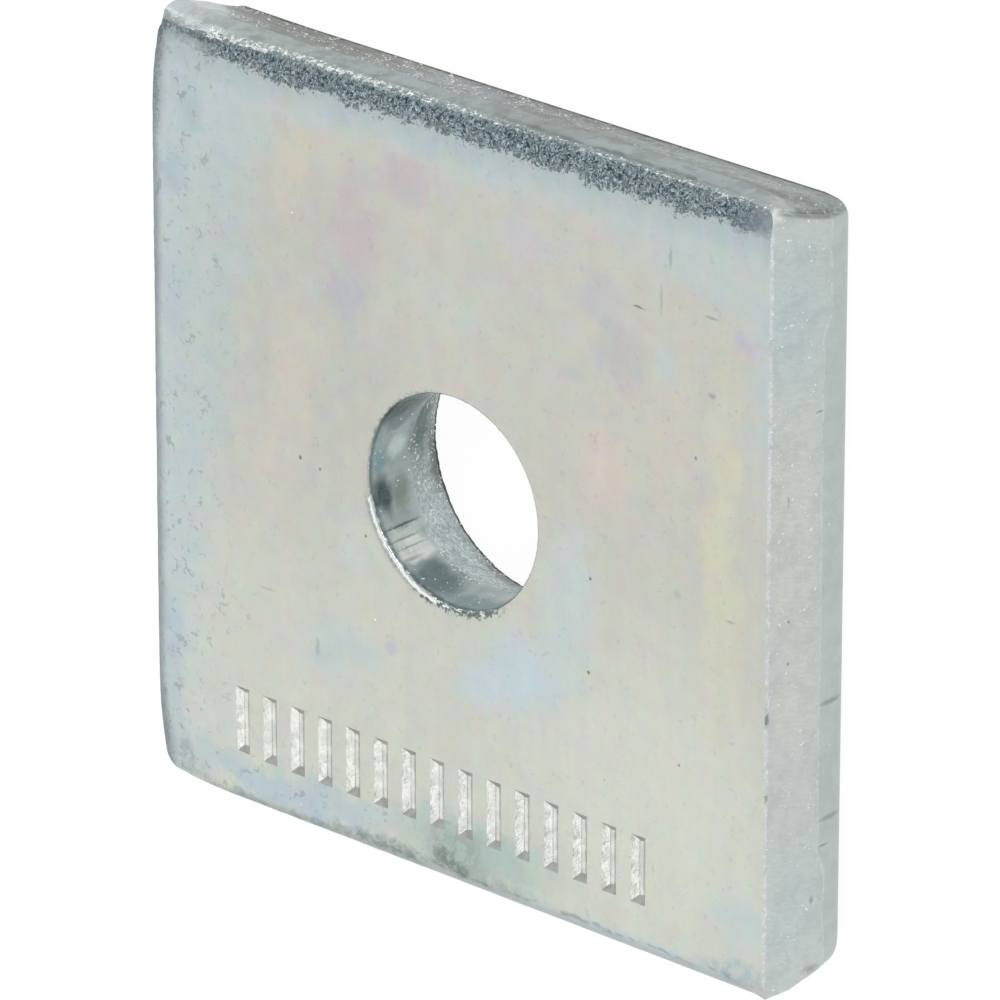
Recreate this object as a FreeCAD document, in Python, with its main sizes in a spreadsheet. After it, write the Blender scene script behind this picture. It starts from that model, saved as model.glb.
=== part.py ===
import FreeCAD, Part
import math
import os

import Sketcher
from FreeCAD import Placement, Rotation, Vector

# Square plate washer, cut and punched from a bar of plain steel plate, lying flat.
# Origin: middle of the underside, on the axis of the bore. +Z is up through the bore.
# The face seen from above is the one that the punch entered: three of its edges are
# drawn down into a shallow roll. The edge at +X was parted from below, so its roll
# is on the underside and its upper edge is sharp.

NODE = "plate_washer"
SHEET = "Sizes"

# name: (size in millimetres, what it measures)
SIZES = {
    "plate_width": (41.275, "side of the square, 1 5/8 inch bar"),
    "plate_thickness": (6.35, "1/4 inch bar"),
    "corner_radius": (0.8, "plan radius of the two corners at -X"),
    "roll_width": (1.8, "how far the edge roll runs in over the upper face"),
    "roll_depth": (0.5, "how far the edge roll drops at the side"),
    "land_height": (1.6, "smooth sheared band under the roll, upright"),
    "break_inset": (1.32, "how far the broken band slopes in at the underside"),
    "parting_inset": (0.3, "how far the +X side slopes in at its upper edge"),
    "parting_break": (4.1, "height of the broken band on the +X side"),
    "parting_roll": (1.6, "radius of the roll under the +X side"),
    "droop_reach": (8.7, "length of the droop, from the corner along the diagonal"),
    "droop_depth": (1.2, "drop of the upper face at the -X corners"),
    "bore_diameter": (11.11, "7/16 inch punch, clears a 3/8 inch bolt"),
    "bore_roll_width": (0.45, "how far the roll widens the mouth of the bore"),
    "bore_roll_depth": (0.35, "depth of the roll at the mouth of the bore"),
    "bore_land": (2.65, "height of the round sheared wall of the bore"),
    "breakout_diameter": (13.6, "width of the broken lower end of the bore"),
    "edge_break": (0.15, "radius worn on the sharp edges"),
    "cut_margin": (1.0, "how far the cutting outlines stand clear of the plate"),
}


def make_sheet(doc):
    """Write the driving sizes into a spreadsheet, one named cell for each."""
    sheet = doc.addObject("Spreadsheet::Sheet", SHEET)
    for row, (name, (size, note)) in enumerate(SIZES.items(), start=1):
        sheet.set(f"A{row}", name)
        sheet.set(f"B{row}", str(size))
        sheet.setAlias(f"B{row}", name)
        sheet.set(f"C{row}", note)
    doc.recompute()
    return sheet


def expression(formula):
    """Turn 'plate_width / 2 - roll_width' into an expression on the sheet's cells."""
    words = [f"{SHEET}.{word}" if word.isidentifier() else word for word in formula.split()]
    return " ".join(words)


def amount(sheet, formula):
    """Add up a formula of sizes, each with a sign before it and a divisor after it."""
    total, sign, term = 0.0, 1.0, 0.0
    divide = False
    for word in formula.split():
        if word in "+-":
            total += sign * term
            sign = 1.0 if word == "+" else -1.0
            term = 0.0
        elif word == "/":
            divide = True
        elif divide:
            term /= float(word)
            divide = False
        else:
            term = getattr(sheet, word) if word.isidentifier() else float(word)
    return total + sign * term


def origin_plane(body, role):
    """One of the body's own origin planes."""
    return next(item for item in body.Origin.OriginFeatures if item.Role == role)


def new_sketch(body, name, role, moves=None, turn=None):
    """Add a sketch on one of the body's origin planes.

    moves: axis of the plane's own frame to the formula that shifts the sketch along it
    turn: rotation of the sketch in the plane's own frame
    """
    sketch = body.newObject("Sketcher::SketchObject", name)
    sketch.AttachmentSupport = [(origin_plane(body, role), "")]
    sketch.MapMode = "FlatFace"
    if turn:
        sketch.AttachmentOffset = Placement(Vector(), turn)
    for axis, formula in (moves or {}).items():
        sketch.setExpression(f"AttachmentOffset.Base.{axis}", expression(formula))
    return sketch


def arc_between(level, other):
    """Arc from a point where it runs level to another point, by its circle."""
    run = other.x - level.x
    centre_y = (run * run + other.y ** 2 - level.y ** 2) / (2 * (other.y - level.y))
    centre = Vector(level.x, centre_y, 0)
    circle = Part.Circle(centre, Vector(0, 0, 1), abs(level.y - centre_y))
    angles = [math.atan2(p.y - centre.y, p.x - centre.x) for p in (level, other)]
    swept = (angles[1] - angles[0]) % (2 * math.pi)
    level_first = swept < math.pi
    first, last = angles if level_first else reversed(angles)
    return Part.ArcOfCircle(circle, first, last), level_first


def hold_point(sketch, sheet, geometry, end, corner):
    """Dimension one end of a line or arc from the sketch's origin."""
    for kind, axis, formula in zip(("DistanceX", "DistanceY"), (-2, -1), corner):
        if formula == "0":
            sketch.addConstraint(Sketcher.Constraint("PointOnObject", geometry, end, axis))
            continue
        size = amount(sheet, formula)
        index = sketch.addConstraint(Sketcher.Constraint(kind, -1, 1, geometry, end, size))
        sketch.setExpression(f"Constraints[{index}]", expression(formula))


def draw_path(sketch, sheet, corners, level_ends=None, closed=True):
    """Draw lines and arcs through dimensioned corners.

    corners: (x formula, y formula) of each corner in turn
    level_ends: number of each stretch that is an arc, to the end where the arc runs level,
        0 for its first corner and 1 for its second
    """
    level_ends = level_ends or {}
    points = [Vector(amount(sheet, x), amount(sheet, y), 0) for x, y in corners]
    count = len(points) if closed else len(points) - 1
    ends = []
    for number in range(count):
        pair = (points[number], points[(number + 1) % len(points)])
        if number in level_ends:
            level_end = level_ends[number]
            arc, level_first = arc_between(pair[level_end], pair[1 - level_end])
            index = sketch.addGeometry(arc, False)
            level_point = 1 if level_first else 2
            other_point = 3 - level_point
            start, stop = (level_point, other_point) if level_end == 0 else (other_point, level_point)
            sketch.addConstraint(Sketcher.Constraint("Vertical", index, 3, index, level_point))
        else:
            index = sketch.addGeometry(Part.LineSegment(*pair), False)
            start, stop = 1, 2
        ends.append((index, start, stop))
    for number, (index, start, stop) in enumerate(ends):
        hold_point(sketch, sheet, index, start, corners[number])
        if closed or number + 1 < len(ends):
            next_index, next_start, _ = ends[(number + 1) % len(ends)]
            joint = Sketcher.Constraint("Coincident", index, stop, next_index, next_start)
            sketch.addConstraint(joint)
    if not closed:
        index, _, stop = ends[-1]
        hold_point(sketch, sheet, index, stop, corners[-1])
    return [f"Edge{number + 1}" for number in range(count)]


def recompute_step(doc, body, name, before, adds=False):
    """Recompute and see that the step has added to the solid or cut from it."""
    doc.recompute()
    volume = body.Shape.Volume
    change = volume - before
    if (change > 0) != adds or volume <= 0:
        raise RuntimeError(f"{name} changed the volume by {change:.3f} mm3")
    print(f"{name}: {change:+.2f} mm3")
    return volume


def plan_outline(body, sheet, name, height, inset="0"):
    """Square outline at a height, inset on three sides, with two rounded corners at -X."""
    sketch = new_sketch(body, name, "XY_Plane", moves={"z": height})
    end = "plate_width / 2"
    side = f"{end} - {inset}"
    back = f"{inset} - {end}"
    corners = [
        (end, back),
        (end, side),
        (f"{back} + corner_radius", side),
        (back, f"{side} - corner_radius"),
        (back, f"{back} + corner_radius"),
        (f"{back} + corner_radius", back),
    ]
    draw_path(sketch, sheet, corners, level_ends={2: 0, 4: 1})
    return sketch


def raise_blank(doc, body, sheet):
    """Broken band that widens upward from the underside, and the upright band over it."""
    foot = "plate_thickness - roll_depth - land_height"
    band = body.newObject("PartDesign::AdditiveLoft", "BrokenBand")
    band.Profile = plan_outline(body, sheet, "UndersideOutline", "0", inset="break_inset")
    band.Sections = [plan_outline(body, sheet, "BandTopOutline", foot)]
    band.Ruled = True
    volume = recompute_step(doc, body, "BrokenBand", 0, adds=True)
    outline = plan_outline(body, sheet, "LandOutline", foot)
    pad = body.newObject("PartDesign::Pad", "UprightBand")
    pad.Profile = outline
    pad.setExpression("Length", expression("roll_depth + land_height"))
    return recompute_step(doc, body, "UprightBand", volume, adds=True)


def roll_edges(doc, body, sheet, before):
    """Roll the upper face down at +Y and -Y, then at -X."""
    edge = "plate_width / 2"
    past, above = edge + " + cut_margin", "plate_thickness + cut_margin"
    outline = [
        (edge + " - roll_width", "plate_thickness"),
        (edge, "plate_thickness - roll_depth"),
        (past, "plate_thickness - roll_depth"),
        (past, above),
        (edge + " - roll_width", above),
    ]
    mirrored = [
        ("roll_width - plate_width / 2", "plate_thickness"),
        ("0 - plate_width / 2", "plate_thickness - roll_depth"),
        ("0 - plate_width / 2 - cut_margin", "plate_thickness - roll_depth"),
        ("0 - plate_width / 2 - cut_margin", above),
        ("roll_width - plate_width / 2", above),
    ]
    volume = before
    for name, role, shapes in (
        ("SideRolls", "YZ_Plane", (outline, mirrored)),
        ("EndRoll", "XZ_Plane", (mirrored,)),
    ):
        profile = new_sketch(body, name + "Profile", role)
        for corners in shapes:
            draw_path(profile, sheet, corners, level_ends={0: 0})
        cut = body.newObject("PartDesign::Pocket", name)
        cut.Profile = profile
        cut.Type = "ThroughAll"
        cut.Midplane = True
        volume = recompute_step(doc, body, name, volume)
    return volume


def part_fourth_side(doc, body, sheet, before):
    """Side at +X, parted from below: sharp above, rolled under."""
    profile = new_sketch(body, "PartingProfile", "XZ_Plane")
    side = "plate_width / 2"
    past = side + " + cut_margin"
    break_foot = "plate_thickness - parting_break"
    draw_path(
        profile,
        sheet,
        [
            (side + " - parting_roll", "0"),
            (side, "parting_roll"),
            (side, break_foot),
            (side + " - parting_inset", "plate_thickness"),
            (side + " - parting_inset", "plate_thickness + cut_margin"),
            (past, "plate_thickness + cut_margin"),
            (past, "0 - cut_margin"),
            (side + " - parting_roll", "0 - cut_margin"),
        ],
        level_ends={0: 0},
    )
    cut = body.newObject("PartDesign::Pocket", "PartedSide")
    cut.Profile = profile
    cut.Type = "ThroughAll"
    cut.Midplane = True
    return recompute_step(doc, body, "PartedSide", before)


def droop_corners(doc, body, sheet, before):
    """Bend the upper face away at the two corners at -X, down along each diagonal."""
    moves = {"x": "0 - plate_width / 2", "z": "0 - plate_width / 2"}
    outward = Rotation(Vector(0, 1, 0), 135)
    sketch = new_sketch(body, "DroopProfile", "XZ_Plane", moves=moves, turn=outward)
    drop, above = "plate_thickness - droop_depth", "plate_thickness + cut_margin"
    corners = [
        ("0 - droop_reach", "plate_thickness"),
        ("0", drop),
        ("cut_margin", drop),
        ("cut_margin", above),
        ("0 - droop_reach", above),
    ]
    draw_path(sketch, sheet, corners, level_ends={0: 0})
    cut = body.newObject("PartDesign::Pocket", "CornerDroop")
    cut.Profile = sketch
    cut.Type = "ThroughAll"
    cut.Midplane = True
    one_corner = recompute_step(doc, body, "CornerDroop", before)
    mirror = body.newObject("PartDesign::Mirrored", "BothDroops")
    mirror.Originals = [cut]
    mirror.MirrorPlane = (origin_plane(body, "XZ_Plane"), [""])
    body.Tip = mirror
    return recompute_step(doc, body, "BothDroops", one_corner)


def punch_bore(doc, body, sheet, before):
    """Bore with a rolled mouth, a round sheared land and a flared broken end."""
    sketch = new_sketch(body, "BoreProfile", "XZ_Plane")
    wall = "bore_diameter / 2"
    flare = "breakout_diameter / 2"
    top, foot = "plate_thickness", "plate_thickness - bore_roll_depth - bore_land"
    above, below = "plate_thickness + cut_margin", "0 - cut_margin"
    draw_path(
        sketch,
        sheet,
        [
            (wall + " + bore_roll_width", top),
            (wall, "plate_thickness - bore_roll_depth"),
            (wall, foot),
            (flare, "0"),
            (flare, below),
            ("0", below),
            ("0", above),
            (wall + " + bore_roll_width", above),
        ],
        level_ends={0: 0},
    )
    groove = body.newObject("PartDesign::Groove", "PunchedBore")
    groove.Profile = sketch
    groove.ReferenceAxis = (sketch, ["V_Axis"])
    groove.Angle = 360
    return recompute_step(doc, body, "PunchedBore", before)


def edges_at(shape, test):
    """Names of the edges whose middle point passes a test."""
    names = []
    for number, edge in enumerate(shape.Edges, start=1):
        middle = edge.valueAt((edge.FirstParameter + edge.LastParameter) / 2)
        if test(middle):
            names.append(f"Edge{number}")
    return names


def wear_edges(doc, body, sheet, before):
    """Small worn radius round the +X side and along the lower rim of the bore."""
    half = sheet.plate_width / 2
    near = sheet.edge_break / 10

    def is_worn(point):
        rim = abs(point.z) < near and math.hypot(point.x, point.y) < half / 2
        upper_edge = abs(point.z - sheet.plate_thickness) < near and point.x > half / 2
        upper_edge = upper_edge and abs(point.x - half + sheet.parting_inset) < near
        past_flat = point.x > half - sheet.parting_roll
        side_corner = past_flat and abs(point.y) > half - sheet.break_inset - near
        return rim or upper_edge or side_corner

    base = body.Tip
    fillet = body.newObject("PartDesign::Fillet", "WornEdges")
    fillet.Base = (base, edges_at(base.Shape, is_worn))
    fillet.setExpression("Radius", expression("edge_break"))
    body.Tip = fillet
    return recompute_step(doc, body, "WornEdges", before)


def main():
    """Build the washer, check it and write its solid."""
    os.makedirs("parts", exist_ok=True)
    doc = FreeCAD.newDocument("SquarePlateWasher")
    sheet = make_sheet(doc)
    body = doc.addObject("PartDesign::Body", "PlateWasher")
    body.Label = NODE
    volume = raise_blank(doc, body, sheet)
    volume = roll_edges(doc, body, sheet, volume)
    volume = part_fourth_side(doc, body, sheet, volume)
    volume = droop_corners(doc, body, sheet, volume)
    volume = punch_bore(doc, body, sheet, volume)
    wear_edges(doc, body, sheet, volume)
    doc.recompute()
    for item in doc.Objects:
        if "Invalid" in item.State or "Error" in item.State:
            raise RuntimeError(f"{item.Name} failed: {item.State}")
    shape = body.Shape
    if shape.isNull() or not shape.isValid() or len(shape.Solids) != 1:
        raise RuntimeError(f"{NODE} is not one sound solid")
    shape.exportStep(f"parts/{NODE}.step")
    box = shape.optimalBoundingBox(False, False)
    print(f"{NODE}: {box.XLength:.3f} x {box.YLength:.3f} x {box.ZLength:.3f} mm, {shape.Volume:.1f} mm3")


main()
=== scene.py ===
"""Square plate washer of zinc plated steel: its looks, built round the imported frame."""

import logging
import math
from collections.abc import Callable
from dataclasses import dataclass, field
from enum import Enum

import bmesh
import bpy
from mathutils import Euler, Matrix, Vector, noise


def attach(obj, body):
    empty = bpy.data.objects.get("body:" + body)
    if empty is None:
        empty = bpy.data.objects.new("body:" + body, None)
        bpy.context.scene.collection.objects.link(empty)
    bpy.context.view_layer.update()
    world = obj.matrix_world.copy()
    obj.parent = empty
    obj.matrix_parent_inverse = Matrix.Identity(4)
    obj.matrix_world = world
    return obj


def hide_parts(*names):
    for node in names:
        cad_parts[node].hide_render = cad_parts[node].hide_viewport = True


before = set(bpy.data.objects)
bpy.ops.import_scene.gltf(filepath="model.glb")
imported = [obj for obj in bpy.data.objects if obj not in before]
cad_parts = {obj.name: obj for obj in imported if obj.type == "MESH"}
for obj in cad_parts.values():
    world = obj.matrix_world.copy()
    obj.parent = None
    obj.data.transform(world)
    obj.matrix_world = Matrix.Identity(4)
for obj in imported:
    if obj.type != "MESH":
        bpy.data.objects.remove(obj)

MM = 0.001
METAL = 0.85
BORE_RADIUS = 5.555
LOG = logging.getLogger("plate_washer")
Colour = tuple[float, float, float, float]
Place = Callable[[float, float, float], float]


def grey(red: int, green: int, blue: int) -> Colour:
    """Turn a colour as the eye reads it, 0 to 255, into the linear one a shader takes.

    Args:
        red: Red, 0 to 255.
        green: Green, 0 to 255.
        blue: Blue, 0 to 255.

    Returns:
        The linear colour with full alpha.
    """
    parts = [channel / 255 for channel in (red, green, blue)]
    linear = [p / 12.92 if p <= 0.04045 else ((p + 0.055) / 1.055) ** 2.4 for p in parts]
    return (linear[0], linear[1], linear[2], 1.0)


def smooth(low: float, high: float, value: float) -> float:
    """Rise softly from 0 at low to 1 at high.

    Args:
        low: Where the rise begins.
        high: Where it ends.
        value: The place on the way.

    Returns:
        A number from 0 to 1.
    """
    part = min(1.0, max(0.0, (value - low) / (high - low)))
    return part * part * (3 - 2 * part)


def arc_drop(reach: float, depth: float, distance: float) -> float:
    """Drop of a surface that bends away level at its reach and is deepest at distance 0.

    Args:
        reach: How far from the edge the bend begins.
        depth: How deep it is at the edge.
        distance: Distance from the edge.

    Returns:
        The drop at that distance, in the unit of the depth.
    """
    if distance >= reach:
        return 0.0
    radius = (reach * reach + depth * depth) / (2 * depth)
    run = reach - max(0.0, distance)
    return radius - math.sqrt(radius * radius - run * run)


class Zone(Enum):
    """The surfaces of the washer, each with a finish of its own."""

    FACE = 0
    ROLLED = 1
    SHEARED = 2
    PARTED = 3
    PUNCHED = 4
    STAMPED = 5


@dataclass
class Bench:
    """The operators that shape one piece, called on it alone."""

    piece: bpy.types.Object

    @staticmethod
    def clear() -> None:
        """Leave nothing selected, so that an operator acts on its own piece alone."""
        if bpy.context.object and bpy.context.object.mode != "OBJECT":
            bpy.ops.object.mode_set(mode="OBJECT")
        bpy.ops.object.select_all(action="DESELECT")

    @classmethod
    def take(cls, name: str) -> "Bench":
        """Take up the primitive that was just added.

        Args:
            name: The name that the piece gets.

        Returns:
            A bench that holds it.
        """
        piece = bpy.context.object
        piece.name = name
        piece.data.name = name
        return cls(piece)

    def edit(self) -> None:
        """Go into edit mode with this piece alone."""
        self.clear()
        self.piece.select_set(True)
        bpy.context.view_layer.objects.active = self.piece
        bpy.ops.object.mode_set(mode="EDIT")

    def rest(self) -> None:
        """Leave edit mode with this piece alone selected."""
        self.clear()
        self.piece.select_set(True)
        bpy.context.view_layer.objects.active = self.piece

    def pick_vertices(self, test: Callable[[Vector], bool]) -> None:
        """Select the vertices, and the edges between them, that pass a test of their place.

        Args:
            test: Tells from a vertex's place whether it is meant.
        """
        bpy.ops.mesh.select_mode(type="VERT")
        bpy.ops.mesh.select_all(action="DESELECT")
        sheet = bmesh.from_edit_mesh(self.piece.data)
        for vertex in sheet.verts:
            if test(vertex.co):
                vertex.select_set(True)
        sheet.select_flush(True)
        bmesh.update_edit_mesh(self.piece.data)

    def pick_edges(self, test: Callable[[Vector, Vector], bool]) -> None:
        """Select the edges that pass a test of their two ends.

        Args:
            test: Tells from the places of both ends whether the edge is meant.
        """
        bpy.ops.mesh.select_mode(type="EDGE")
        bpy.ops.mesh.select_all(action="DESELECT")
        sheet = bmesh.from_edit_mesh(self.piece.data)
        for edge in sheet.edges:
            if test(edge.verts[0].co, edge.verts[1].co):
                edge.select_set(True)
        bmesh.update_edit_mesh(self.piece.data)

    def draw_ring(self, half: float, half_before: float, rise: float) -> None:
        """Extrude the selected ring of edges to a new ring of another size and height.

        Args:
            half: Half the new ring's width.
            half_before: Half the width of the ring that is selected.
            rise: How much higher the new ring lies.
        """
        bpy.ops.mesh.extrude_edges_move(TRANSFORM_OT_translate={"value": (0, 0, rise)})
        scale = half / half_before
        bpy.ops.transform.resize(value=(scale, scale, 1), center_override=(0, 0, 0))

    def weigh(self, name: str, weight: Place) -> None:
        """Write a vertex group whose weights follow from each vertex's place.

        Args:
            name: The group's name.
            weight: Gives the weight, 0 to 1, from x, y and z.
        """
        group = self.piece.vertex_groups.new(name=name)
        for vertex in self.piece.data.vertices:
            amount = weight(*vertex.co)
            if amount > 0.0005:
                group.add([vertex.index], min(1.0, amount), "REPLACE")

    def press(
        self, group: str, strength: float, axis: str, pattern: bpy.types.Texture | None = None, still: float = 0.0
    ) -> None:
        """Move the weighed vertices along an axis, evenly or by a cloud pattern.

        Args:
            group: The vertex group that says where and how much.
            strength: The move at full weight.
            axis: X, Y, Z or NORMAL.
            pattern: The pattern that varies the move, if any.
            still: The tone of the pattern, 0 to 1, that doesn't move.
        """
        push = self.piece.modifiers.new(group, "DISPLACE")
        push.direction = axis
        push.strength = strength
        push.vertex_group = group
        push.mid_level = still
        if pattern:
            push.texture = pattern
            push.texture_coords = "LOCAL"
        bpy.ops.object.modifier_apply(modifier=push.name)


def cloud(name: str, size: float, depth: int = 1, contrast: float = 1.0) -> bpy.types.Texture:
    """Make a cloud pattern for pressing roughness into a surface.

    Args:
        name: Its name.
        size: The size of its lumps.
        depth: How many finer layers it has.
        contrast: How hard its lights and darks are.

    Returns:
        The texture.
    """
    pattern = bpy.data.textures.new(name, "CLOUDS")
    pattern.noise_scale = size
    pattern.noise_depth = depth
    pattern.noise_basis = "IMPROVED_PERLIN"
    pattern.contrast = contrast
    return pattern


@dataclass
class PlateBody:
    """The plate: a sheared square with rolled edges, drooped corners and a punched bore."""

    width: float = 41.275 * MM
    thickness: float = 6.35 * MM
    corner_radius: float = 0.8 * MM
    roll_width: float = 1.8 * MM
    roll_depth: float = 0.5 * MM
    land_foot: float = 4.25 * MM
    break_inset: float = 1.32 * MM
    parting_inset: float = 0.3 * MM
    parting_foot: float = 2.25 * MM
    parting_roll: float = 1.6 * MM
    droop_reach: float = 8.7 * MM
    droop_depth: float = 1.2 * MM
    bore_radius: float = BORE_RADIUS * MM
    bore_roll_width: float = 0.16 * MM
    bore_roll_depth: float = 0.12 * MM
    bore_foot: float = 3.35 * MM
    breakout_radius: float = 6.8 * MM
    crest_radius: float = 0.2 * MM
    side_steps: int = 250
    corner_steps: int = 8
    bore_steps: int = 280
    face_insets: tuple[float, ...] = (
        0.008, 0.035, 0.075, 0.12, 0.165, 0.22, 0.29, 0.36, 0.46, 0.57, 0.69, 0.82, 0.96, 1.11, 1.27, 1.44, 1.62, 1.81,
        2.05, 2.4, 2.85, 3.4, 4.05, 4.8, 5.7, 6.8, 8.1, 9.6,
    )
    wall_steps: int = 44
    wall_grading: float = 1.2
    foot_insets: tuple[float, ...] = (1.4, 1.55, 1.8, 2.4, 3.6, 6.0)

    @property
    def half(self) -> float:
        """Half the plate's width."""
        return self.width / 2

    @property
    def crest_height(self) -> float:
        """Height at which the rolled face meets the upright land."""
        return self.thickness - self.roll_depth

    def ring_size(self, x: float, y: float) -> float:
        """Size of the outline's scaled copy that passes through a point, against the outline.

        Args:
            x: The point's x.
            y: The point's y.

        Returns:
            1 on the outline, less inside it.
        """
        across, along = abs(x), abs(y)
        size = max(across, along) / self.half
        arm = self.half - self.corner_radius
        if min(across, along) > arm * size:
            total, square = across + along, across * across + along * along
            root = arm * arm * total * total - square * (2 * arm * arm - self.corner_radius**2)
            size = square / (arm * total + math.sqrt(max(0.0, root)))
        return size

    def parted(self, x: float, y: float) -> float:
        """How far a point belongs to the side at +X, 1 there and 0 on the other sides."""
        size = self.ring_size(x, y)
        arm = self.half - self.corner_radius
        over_x, over_y = x / size - arm, abs(y) / size - arm
        if over_x <= 0:
            return 0.0
        if over_y <= 0:
            return 1.0
        return 1 - smooth(0.0, 1.0, math.atan2(over_y, over_x) / (math.pi / 2))

    def roll_drop(self, x: float, y: float) -> float:
        """Drop of the rolled upper face at a point of the plan, the crest's rounding too."""
        inset = self.half * (1 - self.ring_size(x, y)) if x < 0 else self.half - abs(y)
        drop = arc_drop(self.roll_width, self.roll_depth, inset)
        if inset < self.crest_radius:
            run = self.crest_radius - max(0.0, inset)
            drop += 0.8 * (self.crest_radius - math.sqrt(max(0.0, self.crest_radius**2 - run * run)))
        return drop

    @property
    def deepest(self) -> float:
        """The most that the upper face drops anywhere."""
        return self.droop_depth + self.roll_depth

    def face_drop(self, x: float, y: float) -> float:
        """Drop of the upper face at a point of the plan: the roll or the corner's droop.

        Args:
            x: The point's x.
            y: The point's y.

        Returns:
            The drop, at most the deepest.
        """
        roll = self.roll_drop(x, y)
        along = ((x + self.half) + (self.half - abs(y))) / math.sqrt(2)
        droop = arc_drop(self.droop_reach, self.droop_depth, along)
        soft = 0.12 * MM
        return (roll + droop + math.sqrt((roll - droop) ** 2 + soft * soft) - soft) / 2

    def wall_inset(self, height: float) -> float:
        """Inset of the sheared sides at a height: an upright land, then the broken band."""
        return self.break_inset * max(0.0, 1 - height / self.land_foot)

    def parted_inset(self, height: float) -> float:
        """Inset of the side at +X at a height: broken band, land and rounded foot."""
        if height > self.parting_foot:
            return self.parting_inset * (height - self.parting_foot) / (self.thickness - self.parting_foot)
        return arc_drop(self.parting_roll, self.parting_roll, height)

    def crest_y(self, x: float) -> float:
        """Where the crest of the +Y side runs: it steps back toward the rolled-over corner at -X."""
        return self.half - min(0.64, 0.7 * (max(0.0, -11.5 * MM - x) / (8 * MM)) ** 1.3) * MM

    def draw_outline(self) -> Bench:
        """Add the plate's outline as a closed ring of short edges at the crest's height.

        Returns:
            A bench with the outline, in edit mode and selected.
        """
        Bench.clear()
        bpy.ops.mesh.primitive_plane_add(size=self.width)
        bench = Bench.take("washer_body")
        bench.edit()
        bpy.ops.mesh.bevel(offset=self.corner_radius, segments=self.corner_steps, affect="VERTICES")
        bpy.ops.mesh.delete(type="ONLY_FACE")
        straight = self.half
        bench.pick_edges(lambda a, b: (a - b).length > straight)
        bpy.ops.mesh.subdivide(number_cuts=self.side_steps - 1)
        bpy.ops.mesh.select_all(action="SELECT")
        bpy.ops.transform.translate(value=(0, 0, self.thickness))
        return bench

    def draw_face(self, bench: Bench) -> None:
        """Extrude the outline inwards, ring by ring, over the rolled edge to the flat.

        Args:
            bench: The bench with the outline selected.
        """
        before = self.half
        for inset in self.face_insets:
            bench.draw_ring(self.half - inset * MM, before, 0)
            before = self.half - inset * MM

    def draw_wall(self, bench: Bench) -> None:
        """Extrude the outline down the land and the broken band, and in under the foot.

        Args:
            bench: The bench in edit mode.
        """
        limit = 1 - 1e-6
        top = self.thickness
        bench.pick_vertices(lambda co: self.ring_size(co.x, co.y) > limit)
        before, level = self.half, top
        for step in range(1, self.wall_steps + 1):
            height = top * (1 - (step / self.wall_steps) ** self.wall_grading)
            half = self.half - self.wall_inset(height * self.crest_height / top)
            bench.draw_ring(half, before, height - level)
            before, level = half, height
        for inset in self.foot_insets:
            bench.draw_ring(self.half - inset * MM, before, 0)
            before = self.half - inset * MM

    def draw_bore(self, bench: Bench) -> None:
        """Add the bore's mouth as a circle and extrude it down the land to the breakout.

        Args:
            bench: The bench in edit mode.
        """
        bpy.ops.mesh.select_all(action="DESELECT")
        mouth = self.bore_radius + self.bore_roll_width
        outer, place = mouth + 0.5 * MM, (0, 0, self.thickness)
        bpy.ops.mesh.primitive_circle_add(vertices=self.bore_steps, radius=outer, location=place)
        before, level = outer, self.thickness
        for radius, height in self.bore_profile():
            bench.draw_ring(radius, before, height - level)
            before, level = radius, height

    def bore_profile(self) -> list[tuple[float, float]]:
        """Radii and heights of the bore's rings, from the flat face to the underside.

        Returns:
            Pairs of radius and height.
        """
        mouth = self.bore_radius + self.bore_roll_width
        profile = [(mouth + part * MM, self.thickness) for part in (0.34, 0.22, 0.11, 0.0)]
        steps = 5
        for step in range(1, steps + 1):
            inset = self.bore_roll_width * (1 - math.sin(step / steps * math.pi / 2))
            drop = arc_drop(self.bore_roll_width, self.bore_roll_depth, inset)
            profile.append((self.bore_radius + inset, self.thickness - drop))
        crown = self.thickness - self.bore_roll_depth
        land_steps, flare_steps = 16, 20
        for step in range(1, land_steps + 1):
            profile.append((self.bore_radius, crown - (crown - self.bore_foot) * step / land_steps))
        for step in range(1, flare_steps + 1):
            part = step / flare_steps
            radius = self.bore_radius + (self.breakout_radius - self.bore_radius) * part
            profile.append((radius, self.bore_foot * (1 - part)))
        profile.append((self.breakout_radius + 0.45 * MM, 0.0))
        return profile

    def close_faces(self, bench: Bench) -> None:
        """Bridge the plate's inner rings to the bore's outer rings, above and below.

        Args:
            bench: The bench in edit mode.
        """
        rings = (
            (self.half - self.face_insets[-1] * MM, self.bore_radius + self.bore_roll_width + 0.5 * MM, self.thickness),
            (self.half - self.foot_insets[-1] * MM, self.breakout_radius + 0.45 * MM, 0.0),
        )
        for outer, inner, height in rings:
            near = 0.01 * MM

            def on_rings(co: Vector) -> bool:
                if abs(co.z - height) > near:
                    return False
                square = abs(self.ring_size(co.x, co.y) * self.half - outer) < near
                return square or abs(math.hypot(co.x, co.y) - inner) < near

            bench.pick_vertices(on_rings)
            bpy.ops.mesh.fill(use_beauty=True)
        bpy.ops.mesh.select_all(action="SELECT")
        bpy.ops.mesh.normals_make_consistent(inside=False)

    def shape(self) -> Bench:
        """Model the whole plate.

        Returns:
            A bench with the plate, in object mode.
        """
        bench = self.draw_outline()
        self.draw_face(bench)
        self.draw_wall(bench)
        self.draw_bore(bench)
        self.close_faces(bench)
        bench.rest()
        return bench

    def on_wall(self, x: float, y: float, height: float) -> bool:
        """Whether a point of the unshaped plate lies on one of its four sides."""
        inset = self.half * (1 - self.ring_size(x, y))
        return height > 1e-7 and inset < self.break_inset + 1e-5 and (height < self.thickness - 1e-7 or inset < 1e-7)

    def weigh_places(self, bench: Bench) -> None:
        """Write where each bend of the surface works, while the plate is still plain.

        Args:
            bench: The bench with the plain plate.
        """
        top = self.thickness

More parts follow.
